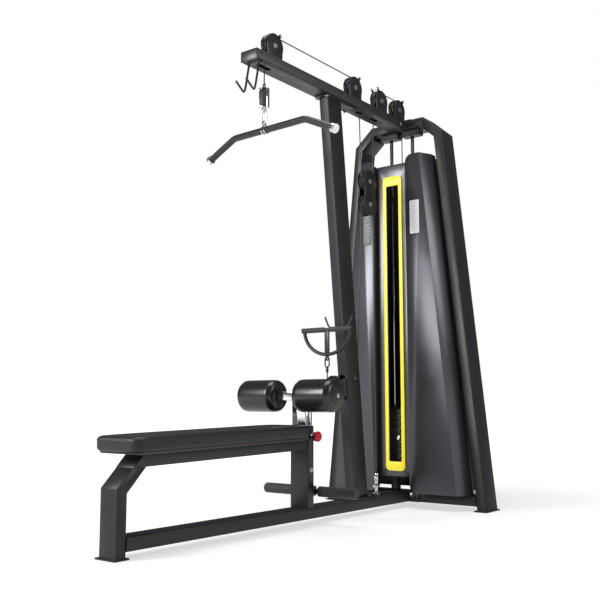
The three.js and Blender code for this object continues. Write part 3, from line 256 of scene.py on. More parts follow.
# ------------------------------------------------------------------ finishes
VARIATION_RANGE = (0.3, 0.7)
COAT_ROUGHNESS = 0.12
@dataclass(frozen=True)
class Finish:
    """A surface with grain, patchy gloss and light wear.

    Colours are linear. The second colour shows in the patches and the third where it is worn.
    """

    name: str
    base: tuple[float, float, float]
    patch: tuple[float, float, float]
    worn: tuple[float, float, float]
    gloss: tuple[float, float] = (0.35, 0.5)
    metallic: float = 0.0
    grain: float = 700.0
    patch_scale: float = 7.0
    bump: float = 0.12
    bump_size: float = 0.0003
    wear: float = 0.25
    coat: float = 0.0
    hide: bool = False
    specular: float = 0.5
    stretch: tuple[float, float, float] = (1.0, 1.0, 1.0)

    def material(self) -> bpy.types.Material:
        """Builds the material, or returns it if it is there already."""
        label = f"{self.name}_finish"
        known = bpy.data.materials.get(label)
        if known is not None:
            return known
        made = bpy.data.materials.new(label)
        made.use_nodes = True
        tree = made.node_tree
        tree.nodes.clear()
        out = tree.nodes.new("ShaderNodeOutputMaterial")
        shader = tree.nodes.new("ShaderNodeBsdfPrincipled")
        tree.links.new(shader.outputs[0], out.inputs[0])
        place = tree.nodes.new("ShaderNodeTexCoord").outputs["Object"]
        if self.stretch != (1.0, 1.0, 1.0):
            mapping = tree.nodes.new("ShaderNodeMapping")
            mapping.inputs["Scale"].default_value = self.stretch
            tree.links.new(place, mapping.inputs["Vector"])
            place = mapping.outputs[0]
        grain = self._use(tree, GRAIN, place, {"Scale": self.grain, "Patch": self.patch_scale})
        scuff = self._use(tree, SCUFF, place, {"Amount": self.wear})
        colour = self._mix(tree, grain.outputs["Variation"], self.base, self.patch)
        worn = self._mix(tree, scuff.outputs["Mask"], colour, self.worn)
        tree.links.new(worn, shader.inputs["Base Color"])
        rough = tree.nodes.new("ShaderNodeMapRange")
        rough.inputs["From Min"].default_value = VARIATION_RANGE[0]
        rough.inputs["From Max"].default_value = VARIATION_RANGE[1]
        rough.inputs["To Min"].default_value = self.gloss[0]
        rough.inputs["To Max"].default_value = self.gloss[1]
        tree.links.new(grain.outputs["Variation"], rough.inputs["Value"])
        tree.links.new(rough.outputs[0], shader.inputs["Roughness"])
        shader.inputs["Metallic"].default_value = self.metallic
        shader.inputs["Specular IOR Level"].default_value = self.specular
        shader.inputs["Coat Weight"].default_value = self.coat
        shader.inputs["Coat Roughness"].default_value = COAT_ROUGHNESS
        height = grain.outputs["Height"]
        if self.hide:
            height = self._use(tree, HIDE, place, {"Scale": self.grain}).outputs["Height"]
        bump = tree.nodes.new("ShaderNodeBump")
        bump.inputs["Strength"].default_value = self.bump
        bump.inputs["Distance"].default_value = self.bump_size
        tree.links.new(height, bump.inputs["Height"])
        tree.links.new(bump.outputs[0], shader.inputs["Normal"])
        return made

    @staticmethod
    def _use(tree: bpy.types.NodeTree, group: bpy.types.NodeTree, place: bpy.types.NodeSocket,
             values: dict[str, float]) -> bpy.types.Node:
        """Places a shared group in a material.

        Args:
            tree: the material's tree.
            group: the shared effect.
            place: the socket that says where on the piece a point is.
            values: the group's own numbers here.

        Returns:
            The group node.
        """
        node = tree.nodes.new("ShaderNodeGroup")
        node.node_tree = group
        tree.links.new(place, node.inputs["Vector"])
        for label, value in values.items():
            node.inputs[label].default_value = value
        return node

    @staticmethod
    def _mix(tree: bpy.types.NodeTree, mask: bpy.types.NodeSocket, a: object,
             b: object) -> bpy.types.NodeSocket:
        """Mixes two colours by a mask.

        Args:
            tree: the material's tree.
            mask: 0 for the first colour and 1 for the second.
            a: the first colour, a socket or three numbers.
            b: the second colour, a socket or three numbers.

        Returns:
            The mixed colour's socket.
        """
        node = tree.nodes.new("ShaderNodeMix")
        node.data_type = "RGBA"
        tree.links.new(mask, node.inputs["Factor"])
        for socket, value in ((node.inputs[6], a), (node.inputs[7], b)):
            if isinstance(value, bpy.types.NodeSocket):
                tree.links.new(value, socket)
            else:
                socket.default_value = (*value, 1.0)
        return node.outputs[2]


POWDER = Finish("powder_coat", (0.007, 0.0075, 0.009), (0.012, 0.0125, 0.014), (0.03, 0.03, 0.032),
                gloss=(0.34, 0.46), grain=900, bump=0.25, wear=0.15, specular=0.35)
SHROUD = Finish("shroud_metallic", (0.055, 0.057, 0.062), (0.075, 0.077, 0.083), (0.12, 0.12, 0.125),
                gloss=(0.26, 0.34), metallic=0.8, grain=1400, patch_scale=2.2, bump=0.06, wear=0.08)
YELLOW = Finish("signal_yellow", (0.86, 0.74, 0.012), (0.8, 0.67, 0.01), (0.6, 0.5, 0.05),
                gloss=(0.3, 0.42), grain=500, bump=0.05, wear=0.12)
IRON = Finish("painted_iron", (0.012, 0.012, 0.013), (0.02, 0.02, 0.021), (0.07, 0.068, 0.065),
              gloss=(0.45, 0.65), grain=260, bump=0.5, bump_size=0.0006, wear=0.5)
CHROME = Finish("chrome_plate", (0.62, 0.63, 0.65), (0.55, 0.56, 0.58), (0.42, 0.42, 0.43),
                gloss=(0.08, 0.2), metallic=1.0, grain=300, bump=0.03, wear=0.2)
ZINC = Finish("zinc_bolt", (0.5, 0.51, 0.52), (0.4, 0.41, 0.42), (0.25, 0.25, 0.25),
              gloss=(0.25, 0.42), metallic=1.0, grain=500, bump=0.1, wear=0.4)
DARK_STEEL = Finish("dark_steel", (0.05, 0.05, 0.052), (0.035, 0.035, 0.037), (0.12, 0.12, 0.12),
                    gloss=(0.3, 0.45), metallic=0.9, grain=500, bump=0.1, wear=0.3)
NYLON = Finish("black_nylon", (0.007, 0.007, 0.008), (0.012, 0.012, 0.013), (0.03, 0.03, 0.03),
               gloss=(0.3, 0.42), grain=420, bump=0.12, wear=0.25, specular=0.4)
VINYL = Finish("bench_vinyl", (0.008, 0.008, 0.0085), (0.012, 0.012, 0.013), (0.022, 0.022, 0.023),
               gloss=(0.42, 0.55), grain=430, patch_scale=5, bump=0.35, bump_size=0.0005, hide=True,
               wear=0.12, specular=0.35)
ROLLER = Finish("roller_vinyl", (0.006, 0.006, 0.0065), (0.01, 0.01, 0.011), (0.02, 0.02, 0.02),
                gloss=(0.24, 0.34), grain=500, bump=0.12, hide=True, wear=0.12, coat=0.15, specular=0.4)
RUBBER = Finish("black_rubber", (0.014, 0.014, 0.015), (0.024, 0.024, 0.025), (0.07, 0.068, 0.065),
                gloss=(0.5, 0.72), grain=380, bump=0.3, wear=0.4)
CABLE = Finish("cable_coat", (0.013, 0.013, 0.014), (0.03, 0.03, 0.03), (0.08, 0.08, 0.08),
               gloss=(0.25, 0.4), grain=900, bump=0.3, wear=0.3, stretch=(1, 1, 0.25))
KNOB_RED = Finish("knob_red", (0.42, 0.003, 0.01), (0.36, 0.003, 0.009), (0.3, 0.01, 0.014),
                  gloss=(0.3, 0.42), grain=300, bump=0.04, wear=0.15, specular=0.3)
BOARD = Finish("stained_ply", (0.03, 0.022, 0.016), (0.05, 0.037, 0.026), (0.09, 0.07, 0.05),
               gloss=(0.5, 0.7), grain=240, bump=0.4, wear=0.3, stretch=(1, 0.12, 2.5))
PLACARD = Finish("placard_white", (0.7, 0.7, 0.7), (0.62, 0.62, 0.62), (0.45, 0.45, 0.44),
                 gloss=(0.35, 0.5), grain=300, bump=0.03, wear=0.15)
PLACARD_INK = Finish("placard_ink", (0.05, 0.05, 0.055), (0.07, 0.07, 0.075), (0.12, 0.12, 0.12),
                     gloss=(0.4, 0.5), grain=300, bump=0.03, wear=0.1)
PLACARD_GREY = Finish("placard_grey", (0.33, 0.33, 0.335), (0.28, 0.28, 0.285), (0.2, 0.2, 0.2),
                      gloss=(0.4, 0.5), grain=300, bump=0.03, wear=0.1)


# ------------------------------------------------------------------ making pieces
WASHER_THICK = 1.8
WASHER_WIDER = 1.35
SAME_PLACE = 1e-6
class Workpiece:
    """A mesh in the making, and the way it is handed over as a finished piece."""

    def __init__(self) -> None:
        """Starts with nothing in it."""
        self.bm = bmesh.new()

    def tube(self, path: Sequence[Vector], radius: float, sides: int = 16,
             closed: bool = False) -> "Workpiece":
        """Carries a circle along a path.

        Args:
            path: the centreline, in metres.
            radius: the tube's radius, in metres.
            sides: corners of the circle.
            closed: True if the path's last point joins its first.

        Returns:
            This workpiece.
        """
        count = len(path)

        def heading(i: int) -> Vector:
            """Finds the path's direction at one of its points.

            Args:
                i: the point's number.

            Returns:
                The direction.
            """
            before = path[(i - 1) % count] if closed or i > 0 else path[0]
            after = path[(i + 1) % count] if closed or i < count - 1 else path[-1]
            return (after - before).normalized()

        turned = heading(0).to_track_quat("Z", "Y").to_matrix().to_4x4()
        start = Matrix.Translation(path[0]) @ turned
        made = bmesh.ops.create_circle(self.bm, cap_ends=False, segments=sides, radius=radius, matrix=start)
        ring = list({edge for vert in made["verts"] for edge in vert.link_edges})
        first = list(ring)
        for i in range(1, count):
            geom = bmesh.ops.extrude_edge_only(self.bm, edges=ring)["geom"]
            verts = [item for item in geom if isinstance(item, bmesh.types.BMVert)]
            own = set(verts)
            ring = [e for e in geom if isinstance(e, bmesh.types.BMEdge) and set(e.verts) <= own]
            bend = heading(i - 1).rotation_difference(heading(i)).to_matrix()
            bmesh.ops.rotate(self.bm, verts=verts, cent=path[i - 1], matrix=bend)
            bmesh.ops.translate(self.bm, verts=verts, vec=path[i] - path[i - 1])
        if closed:
            bmesh.ops.bridge_loops(self.bm, edges=first + ring)
        else:
            bmesh.ops.edgeloop_fill(self.bm, edges=first)
            bmesh.ops.edgeloop_fill(self.bm, edges=ring)
        return self

    def turned(self, profile: Sequence[tuple[float, float]], centre: Vector, axis: Axis = Axis.X,
               steps: int = 48) -> "Workpiece":
        """Spins a profile once round an axis.

        Args:
            profile: (radius, distance along the axis) in millimetres; it closes on itself.
            centre: a point on the axis, where the distance is 0.
            axis: what it turns round.
            steps: faces round the piece.

        Returns:
            This workpiece.
        """
        out = Vector((0, 0, 1)) if axis is Axis.X else Vector((1, 0, 0))
        verts = [self.bm.verts.new(centre + out * (r * MM) + axis.value * (h * MM)) for r, h in profile]
        edges = [self.bm.edges.new((verts[i], verts[(i + 1) % len(verts)])) for i in range(len(verts))]
        bmesh.ops.spin(self.bm, geom=verts + edges, cent=centre, axis=axis.value, dvec=(0, 0, 0),
                       angle=math.tau, steps=steps, use_merge=True, use_duplicate=False)
        return self

    def plate(self, outline: Sequence[Vector], thickness: Vector, bevel: float = 0.0006) -> "Workpiece":
        """Gives an outline a thickness and softens its rims.

        Args:
            outline: the corners in order, in metres.
            thickness: how far, and which way, it is thickened.
            bevel: width of the softened rim, in metres.

        Returns:
            This workpiece.
        """
        face = self.bm.faces.new([self.bm.verts.new(point) for point in outline])
        rims = list(face.edges)
        geom = bmesh.ops.extrude_face_region(self.bm, geom=[face], use_keep_orig=True)["geom"]
        bmesh.ops.translate(
            self.bm, verts=[g for g in geom if isinstance(g, bmesh.types.BMVert)], vec=thickness)
        tops = [g for g in geom if isinstance(g, bmesh.types.BMFace)]
        rims += [edge for top in tops for edge in top.edges]
        if bevel > 0:
            self.soften(rims, bevel)
        return self

    def block(self, low: Vector, high: Vector, bevel: float = 0.001) -> "Workpiece":
        """Adds a box with softened edges.

        Args:
            low: its lowest corner, in metres.
            high: its highest corner, in metres.
            bevel: width of the softened edges, in metres.

        Returns:
            This workpiece.
        """
        size = high - low
        matrix = Matrix.Translation((low + high) / 2) @ Matrix.Diagonal((*size, 1.0))
        made = bmesh.ops.create_cube(self.bm, size=1.0, matrix=matrix)["verts"]
        if bevel > 0:
            self.soften(list({edge for vert in made for edge in vert.link_edges}), bevel)
        return self

    def bolt(self, centre: Vector, out: Vector, radius: float = 9.0, height: float = 7.0) -> "Workpiece":
        """A hexagon head on a washer.

        Args:
            centre: where its axis meets the face that it is bolted to.
            out: the direction it stands out in.
            radius: the head's corner radius, in millimetres.
            height: the head's height above the washer, in millimetres.

        Returns:
            This workpiece.
        """
        turn = out.to_track_quat("Z", "Y").to_matrix().to_4x4()
        washer = (28, radius * WASHER_WIDER, 0.0, WASHER_THICK)
        head = (6, radius, WASHER_THICK - 0.2, WASHER_THICK + height)
        for sides, wide, low, high in (washer, head):
            middle = centre + out * ((low + high) / 2 * MM)
            made = bmesh.ops.create_cone(
                self.bm, cap_ends=True, segments=sides, radius1=wide * MM, radius2=wide * MM,
                depth=(high - low) * MM, matrix=Matrix.Translation(middle) @ turn)["verts"]
            edges = {edge for vert in made for edge in vert.link_edges}
            rims = [e for e in edges if abs((e.verts[0].co - e.verts[1].co).dot(out)) < SAME_PLACE]
            self.soften(rims, 0.0005)
        return self

    def soften(self, edges: list[bmesh.types.BMEdge], width: float) -> None:
        """Rounds edges.

        Args:
            edges: the edges.
            width: how wide the rounding is, in metres.
        """
        bmesh.ops.bevel(self.bm, geom=edges, offset=width, offset_type="OFFSET", affect="EDGES", segments=2,
                        profile=0.5, material=-1, clamp_overlap=True)

    def done(self, name: str, finish: Finish, body: str = "frame", replaces: Iterable[str] = (),
             smooth: float = 35.0) -> bpy.types.Object:
        """Hands the piece over.

        Args:
            name: the piece's name.
            finish: its surface.
            body: the CAD body it rides on, or an empty name to attach it to none.
            replaces: CAD nodes that it stands for.
            smooth: edges sharper than this many degrees stay sharp.

        Returns:
            The finished object.
        """
        bmesh.ops.remove_doubles(self.bm, verts=self.bm.verts[:], dist=SAME_PLACE)
        bmesh.ops.recalc_face_normals(self.bm, faces=self.bm.faces[:])
        mesh = bpy.data.meshes.new(name)
        self.bm.to_mesh(mesh)
        self.bm.free()
        mesh.shade_smooth()
        mesh.set_sharp_from_angle(angle=math.radians(smooth))
        piece = bpy.data.objects.new(name, mesh)
        bpy.context.scene.collection.objects.link(piece)
        mesh.materials.append(finish.material())
        if body:
            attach(piece, body)
        nodes = tuple(replaces)
        if nodes:
            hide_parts(*nodes)
        LOG.info("piece %s: %d faces on %s", name, len(mesh.polygons), body or "two bodies")
        return piece


# ------------------------------------------------------------------ paths and profiles
Profile = list[tuple[float, float]]
EYE_RADIUS = 11.0
EYE_WIRE = 3.9
HOOK_WIRE = 3.5


def arc(centre: Vector, radius: float, start: float, end: float, steps: int, u: Vector,
        v: Vector) -> list[Vector]:
    """Points along an arc.

    Args:
        centre: the arc's centre, in metres.
        radius: its radius, in metres.
        start: first angle, in degrees, from u towards v.
        end: last angle, in degrees.
        steps: how many steps it is cut into.
        u: the direction at 0 degrees.
        v: the direction at 90 degrees.

    Returns:
        The points, both ends included.
    """
    angles = [math.radians(start + (end - start) * i / steps) for i in range(steps + 1)]
    return [centre + u * (radius * math.cos(a)) + v * (radius * math.sin(a)) for a in angles]


def rounded(u0: float, u1: float, v0: float, v1: float, radius: float, y: float) -> list[Vector]:
    """Draws a rounded rectangle in the front view, in layout millimetres.

    Args:
        u0: its left side.
        u1: its right side.
        v0: its lower side.
        v1: its upper side.
        radius: the radius of its corners.
        y: how far back it lies.

    Returns:
        Its corners in order, in metres.
    """
    points: list[Vector] = []
    for cu, cv, first in ((u1 - radius, v1 - radius, 0), (u0 + radius, v1 - radius, 90),
                          (u0 + radius, v0 + radius, 180), (u1 - radius, v0 + radius, 270)):
        points += arc(at(cu, y, cv), radius * MM, first, first + 90, 10, X, Z)
    return points


def oval(y: float, low: float, high: float, half: float) -> list[Vector]:
    """Draws the long loop of a snap hook, in the front view.

    Args:
        y: how far back it hangs, in layout millimetres.
        low: height of the lower bend's centre.
        high: height of the upper bend's centre.
        half: half its width.

    Returns:
        The wire's centreline, in metres.
    """
    top = arc(at(0, y, high), half * MM, 0, 180, 14, X, Z)
    return top + arc(at(0, y, low), half * MM, 180, 360, 14, X, Z)


def eye(y: float, z: float) -> list[Vector]:
    """Draws a cable eye, in the side view.

    Args:
        y: how far back it hangs, in layout millimetres.
        z: the height of its centre.

    Returns:
        The wire's centreline, in metres.
    """
    return arc(at(0, y, z), EYE_RADIUS * MM, 0, 345, 23, Y, Z)


def rod(radius: float, half: float) -> Profile:
    """Gives the profile of a plain round rod.

    Args:
        radius: its radius, in millimetres.
        half: half its length.

    Returns:
        The profile.
    """
    return [(0, -half), (radius, -half), (radius, half), (0, half)]


def ribs(first: float, pitch: float, count: int, radius: float, groove: float, width: float) -> Profile:
    """Gives the grooved stretch of a rubber grip's profile, in millimetres.

    Args:
        first: where the first groove starts.
        pitch: from one groove to the next.
        count: how many grooves there are.
        radius: the grip's radius.
        groove: how deep a groove is.
        width: how wide a groove is.

    Returns:
        The stretch of profile.
    """
    points: Profile = []
    for i in range(count):
        start = first + i * pitch
        points += [(radius, start), (radius - groove, start + width / 2), (radius, start + width)]
    return points


def mirrored(profile: Profile, side: int) -> Profile:
    """Points a profile one way or the other along its axis.

    Args:
        profile: the profile, drawn the positive way.
        side: 1 to keep it and -1 to mirror it.

    Returns:
        The profile.
    """
    return [(radius, distance * side) for radius, distance in profile]


# ------------------------------------------------------------------ sub-assemblies
WELD_REACH = 2e-5
SOFTENED_ANGLE = 38
@dataclass
class Framework:
    """The steel members, plates and rods that keep their CAD solids."""

    softened: float = 1.6
    members: tuple[str, ...] = ("base_beam", "front_leg", "seat_rail", "rear_post", "mast", "boom",
                                "left_upright", "right_upright", "top_bar", "base_crossbeam")
    iron: tuple[str, ...] = ("resting_plates", "lifted_plates", "top_plate")
    bright: tuple[str, ...] = ("left_guide_rod", "right_guide_rod", "selector_rod", "selector_pin",
                               "anchor_stud", "thigh_post")
    soft: tuple[str, ...] = ("left_bumper", "right_bumper")

    def dress(self) -> None:
        """Gives every kept CAD node its finish and its softened edges."""
        for names, finish in ((self.members, POWDER), (self.iron, IRON), (self.bright, CHROME),
                              (self.soft, RUBBER), (("seat_board",), BOARD)):
            for name in names:
                self.soften(name, finish, self.softened if finish is POWDER else self.softened / 2)

    @staticmethod
    def soften(name: str, finish: Finish, width: float) -> None:
        """Dresses one CAD node.

        Args:
            name: the node.
            finish: its surface.
            width: the width of its softened edges, in millimetres.
        """
        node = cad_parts[name]
        node.data.materials.clear()
        node.data.materials.append(finish.material())
        weld = node.modifiers.new("close", "WELD")
        weld.merge_threshold = WELD_REACH
        bevel = node.modifiers.new("soften", "BEVEL")
        bevel.width = width * MM
        bevel.segments = 2
        bevel.limit_method = "ANGLE"
        bevel.angle_limit = math.radians(SOFTENED_ANGLE)
        bevel.harden_normals = True
        for face in node.data.polygons:
            face.use_smooth = True
        LOG.info("node %s dressed", name)


@dataclass(frozen=True)
class BoltPair:
    """Two matching bolts, one each side of the machine's middle plane.

    Sizes are in layout millimetres. A pair points out sideways, or the way that out says.
    """

    x: float
    y: float
    z: float
    radius: float
    height: float
    out: tuple[float, float, float] = (0, 0, 0)


@dataclass
class Fasteners:
    """Bolts and end plugs that hold the members together."""

    pairs: tuple[BoltPair, ...] = (
        BoltPair(27, ROW_MAST.y, ROW_MAST.z, 10, 4),
        BoltPair(50, 1990, 2118, 9, 5),
        BoltPair(30, 1300, 2087.4, 8, 5, (0, 0, -1)),
        BoltPair(52, 1136, 250, 9, 5),
        BoltPair(67, 2010, 62, 8, 5, (0, -1, 0)))

    def build(self) -> None:
        """Makes the bolts at the mast, the boom and the base, and the boom's end plug."""
        work = Workpiece()
        for pair in self.pairs:
            for side in (-1, 1):
                out = Vector(pair.out) if any(pair.out) else X * side
                work.bolt(at(pair.x * side, pair.y, pair.z), out, pair.radius, pair.height)
        work.done("frame_bolts", ZINC)
        plug = Workpiece()
        plug.block(at(-47.5, 739.5, 2098.5), at(47.5, 743, 2143.5), 0.0015)
        plug.done("boom_end_plug", NYLON)


@dataclass
class Shroud:
    """The sheet cover of the weight stack, its window and its two placards."""

    outer: tuple[float, float, float, float] = (-60.5, 60.5, 190, 1817)
    outer_corner: float = 26
    inner: tuple[float, float, float, float] = (-39, 39, 239, 1764)
    inner_corner: float = 7
    front: float = 1962
    raised: float = 5.6
    thin: float = 0.7
    marks_per_placard: int = 15
    mark_lengths: tuple[float, ...] = (0.95, 0.8, 0.9, 0.55)

    def build(self) -> None:
        """Dresses the sheets and makes the window frame, the rear guard and the placards."""
        for name in ("left_shroud", "right_shroud", "centre_panel"):
            Framework.soften(name, SHROUD, self.thin)
        self.window()
        self.guard()
        self.placards()

    def window(self) -> None:
        """The raised yellow frame round the window."""
        work = Workpiece()
        outer = rounded(*self.outer, self.outer_corner, self.front)
        inner = rounded(*self.inner, self.inner_corner, self.front)
        loops = []
        for loop in (outer, inner):
            verts = [work.bm.verts.new(p) for p in loop]
            loops += [work.bm.edges.new((verts[i], verts[(i + 1) % len(verts)])) for i in range(len(verts))]
        faces = bmesh.ops.bridge_loops(work.bm, edges=loops)["faces"]
        geom = bmesh.ops.extrude_face_region(work.bm, geom=faces, use_keep_orig=True)["geom"]
        moved = [g for g in geom if isinstance(g, bmesh.types.BMVert)]
        bmesh.ops.translate(work.bm, verts=moved, vec=Y * self.raised * MM)
        near = outer[0].y + SAME_PLACE
        rims = [e for e in work.bm.edges if max(v.co.y for v in e.verts) < near and len(e.link_faces) == 2]
        corners = [e for e in rims if abs(e.link_faces[0].normal.dot(e.link_faces[1].normal)) < 0.5]
        work.soften(corners, 0.0018)
        work.done("window_surround", YELLOW, replaces=("window_frame",), smooth=50)

    def guard(self) -> None:
        """The dark sheet that closes the tower behind the weight stack."""
        work = Workpiece()
        corners = [at(-425, 2150, 95), at(425, 2150, 95), at(236, 2150, 1930), at(-236, 2150, 1930)]
        work.plate(corners, Y * 2 * MM, 0.0004)
        work.done("rear_guard", POWDER)

    def placards(self) -> None:
        """Two plain placards with rows of generic bars in place of text."""
        for label, side, x0, x1, z0, z1, ground in (("right", 1, 129, 186, 1470, 1654, PLACARD),
                                                    ("left", -1, 122, 178, 1438, 1612, PLACARD_INK)):
            sheet = Workpiece()
            low, high = sorted((x0 * side, x1 * side))
            sheet.block(at(low, 1933.6, z0), at(high, 1934.8, z1), 0.0003)
            sheet.done(f"{label}_placard", ground)
            marks = Workpiece()
            margin = 7
            pitch = (z1 - z0 - 16) / self.marks_per_placard
            for row in range(self.marks_per_placard):
                z = z1 - 10 - row * pitch
                reach = (high - low - 2 * margin) * self.mark_lengths[row % len(self.mark_lengths)]
                marks.block(at(low + margin, 1933.2, z - pitch * 0.3), at(low + margin + reach, 1933.7, z), 0)
            marks.done(f"{label}_placard_marks", PLACARD_GREY)


@dataclass
class Bench:
    """The bench cushion: firm foam under tight vinyl, crowned, with a welt round its top."""

    half: float = 127
    front: float = 18
    back: float = 1055
    height: float = 55
    corner: float = 48
    edge: float = 15
    crown: float = 5
    slope: float = 0.0198
    base: float = 378.0
    cuts: tuple[tuple[int, int], ...] = ((1, 110), (0, 30), (2, 12))

    def build(self) -> None:
        """Makes the cushion and its welt."""
        work = Workpiece()
        bmesh.ops.create_cube(work.bm, size=2.0)
        for axis, cuts in self.cuts:
            edges = [e for e in work.bm.edges if abs(e.verts[0].co[axis] - e.verts[1].co[axis]) > 1]
            bmesh.ops.subdivide_edges(work.bm, edges=edges, cuts=cuts, use_grid_fill=True)
        for vert in work.bm.verts:
            vert.co = self.place(vert.co)
        cushion = work.done("bench_cushion", VINYL, replaces=("seat_cushion",), smooth=60)
        self.welt()

    def outline_point(self, u: float, v: float) -> tuple[float, float]:
        """Moves a point of the square plan to the rounded plan.

        Args:
            u: across, from -1 to 1.
            v: along, from -1 to 1.

        Returns:
            The point in millimetres from the plan's middle.
        """
        half_length = (self.back - self.front) / 2
        x, y = u * self.half, v * half_length
        inner_x, inner_y = self.half - self.corner, half_length - self.corner
        dx, dy = max(abs(x) - inner_x, 0.0), max(abs(y) - inner_y, 0.0)
        if dx > 0 and dy > 0:
            shrink = max(dx, dy) / math.hypot(dx, dy)
            x = math.copysign(inner_x + dx * shrink, x)
            y = math.copysign(inner_y + dy * shrink, y)
        return x, y

    def place(self, unit: Vector) -> Vector:
        """Moves a point of the block that reaches from -1 to 1 each way to the cushion's shape.

        Args:
            unit: the point of the block.

        Returns:
            The point of the cushion, in metres.
        """
        x, y = self.outline_point(unit.x, unit.y)
        half_length = (self.back - self.front) / 2
        side = max(abs(unit.x) * self.half - (self.half - self.edge),
                   abs(unit.y) * half_length - (half_length - self.edge), 0.0)
        rise = max(abs(unit.z) * self.height / 2 - (self.height / 2 - self.edge), 0.0)
        z = unit.z * self.height / 2
        if side > 0 and rise > 0:
            shrink = max(side, rise) / math.hypot(side, rise)
            pull = side * (1 - shrink)
            x -= math.copysign(pull * min(1.0, abs(unit.x) ** 8), x)
            y -= math.copysign(pull * min(1.0, abs(unit.y) ** 30), y)
            z = math.copysign(self.height / 2 - self.edge + rise * shrink, z)
        full = (1 - unit.x ** 4) * (1 - unit.y ** 12)
        z += self.crown * full if unit.z > 0 else 0.0
        middle = (self.front + self.back) / 2
        return at(x, middle + y, self.base + self.height / 2 + z + self.slope * (middle + y))

    def welt(self) -> None:
        """The sewn welt where the top panel meets the side band."""
        half_length = (self.back - self.front) / 2
        middle = (self.front + self.back) / 2
        height = self.base + self.height - self.edge + 1
        corners = ((1, 1, 0), (-1, 1, 90), (-1, -1, 180), (1, -1, 270))
        path: list[Vector] = []
        for sx, sy, first in corners:
            for i in range(11):
                a = math.radians(first + 9 * i)
                x = sx * (self.half - self.corner) + self.corner * math.cos(a)
                y = sy * (half_length - self.corner) + self.corner * math.sin(a)
                path.append(at(x, middle + y, height + self.slope * (middle + y)))
        work = Workpiece()
        work.tube(path, 1.7 * MM, 8, closed=True)
        work.done("bench_welt", VINYL)


@dataclass
class ThighSupport:
    """The two foam rollers, their end caps, and the height knob."""

    y: float = 1041
    z: float = 587
    radius: float = 74
    inner: float = 57.5
    length: float = 212

    def build(self) -> None:
        """Makes both rollers and the knob."""
        for label, side in (("left", -1), ("right", 1)):
            self.roller(label, side)
        self.knob()

    def roller(self, label: str, side: int) -> None:
        """One roller with a welt near each end, and its cap with a bolt.

        Args:
            label: left or right.
            side: -1 or 1, the way that it points.
        """
        r, n = self.radius, self.length
        centre = at(side * self.inner, self.y, self.z)
        end = [(r, 34), (r - 0.8, 22), (r - 3.4, 19.5), (r - 1.5, 17), (r - 6, 9), (60, 3), (50, 1), (13, 1)]
        profile = end[::-1] + [(radius, n - distance) for radius, distance in end]
        work = Workpiece()
        work.turned(mirrored(profile, side), centre, steps=72)
        foam = work.done(f"{label}_thigh_roller", ROLLER, f"{label}_pad", (f"{label}_roller",), 50)
        cap = Workpiece()
        face = [(0, n - 2), (44, n - 2), (44, n + 1), (36, n + 3.2), (16, n + 3.8), (0, n + 3.8)]
        cap.turned(mirrored(face, side), centre, steps=56)
        cap.done(f"{label}_roller_cap", NYLON, f"{label}_pad")
        bolt = Workpiece()
        bolt.bolt(centre + X * (side * (n + 3.0) * MM), X * side, 8, 1.6)
        bolt.done(f"{label}_roller_bolt", ZINC, f"{label}_pad")

    def knob(self) -> None:
        """The red height knob on its steel plunger."""
        centre = at(0, 1136, 401)
        grip = Workpiece()
        head = [(0, 83), (20.5, 83), (24, 86.5), (24, 95), (21.5, 98.5), (14, 100), (0, 100)]
        grip.turned(head, centre, steps=40)
        grip.done("height_knob", KNOB_RED, "knob", ("pull_pin",))
        collar = Workpiece()
        collar.turned([(0, 72), (18, 72), (21.5, 75), (21.5, 82.9), (0, 82.9)], centre, steps=40)
        collar.done("knob_collar", NYLON, "knob")
        stem = Workpiece()
        shank = [(0, 47), (5, 47), (5, 64.6), (18, 64.6), (19.5, 66.5), (19.5, 73), (0, 73)]
        stem.turned(shank, centre, steps=36)
        stem.done("knob_stem", ZINC, "knob")


@dataclass
class Pegs:
    """The rubber foot pegs."""

    y: float = 1195
    z: float = 147
    radius: float = 24
    bore: float = 12.9

    def build(self) -> None:
        """Makes a ribbed sleeve on each end of the peg bar."""
        wall = self.radius
        sleeve = [(self.bore, 56), (wall - 2, 56), (wall, 58)] + ribs(62, 8.8, 22, wall, 1.1, 3.2)
        sleeve += [(wall, 258), (wall - 4, 264.6), (0, 265), (0, 260.5), (self.bore, 260.5)]
        for label, side in (("left", -1), ("right", 1)):
            work = Workpiece()
            work.turned(mirrored(sleeve, side), at(0, self.y, self.z), steps=40)
            work.done(f"{label}_foot_peg", RUBBER, replaces=(f"{label}_peg_sleeve",), smooth=50)


@dataclass(frozen=True)
class Sheave:
    """One pulley: its label, its axle and the body that it turns with.

    The keeper is 1 if its boom bracket's cable keeper is behind the axle and -1 if it is ahead.
    It is 0 where the pulley has no bracket of its own.
    """

    label: str
    axle: Axle
    body: str
    keeper: int = 0


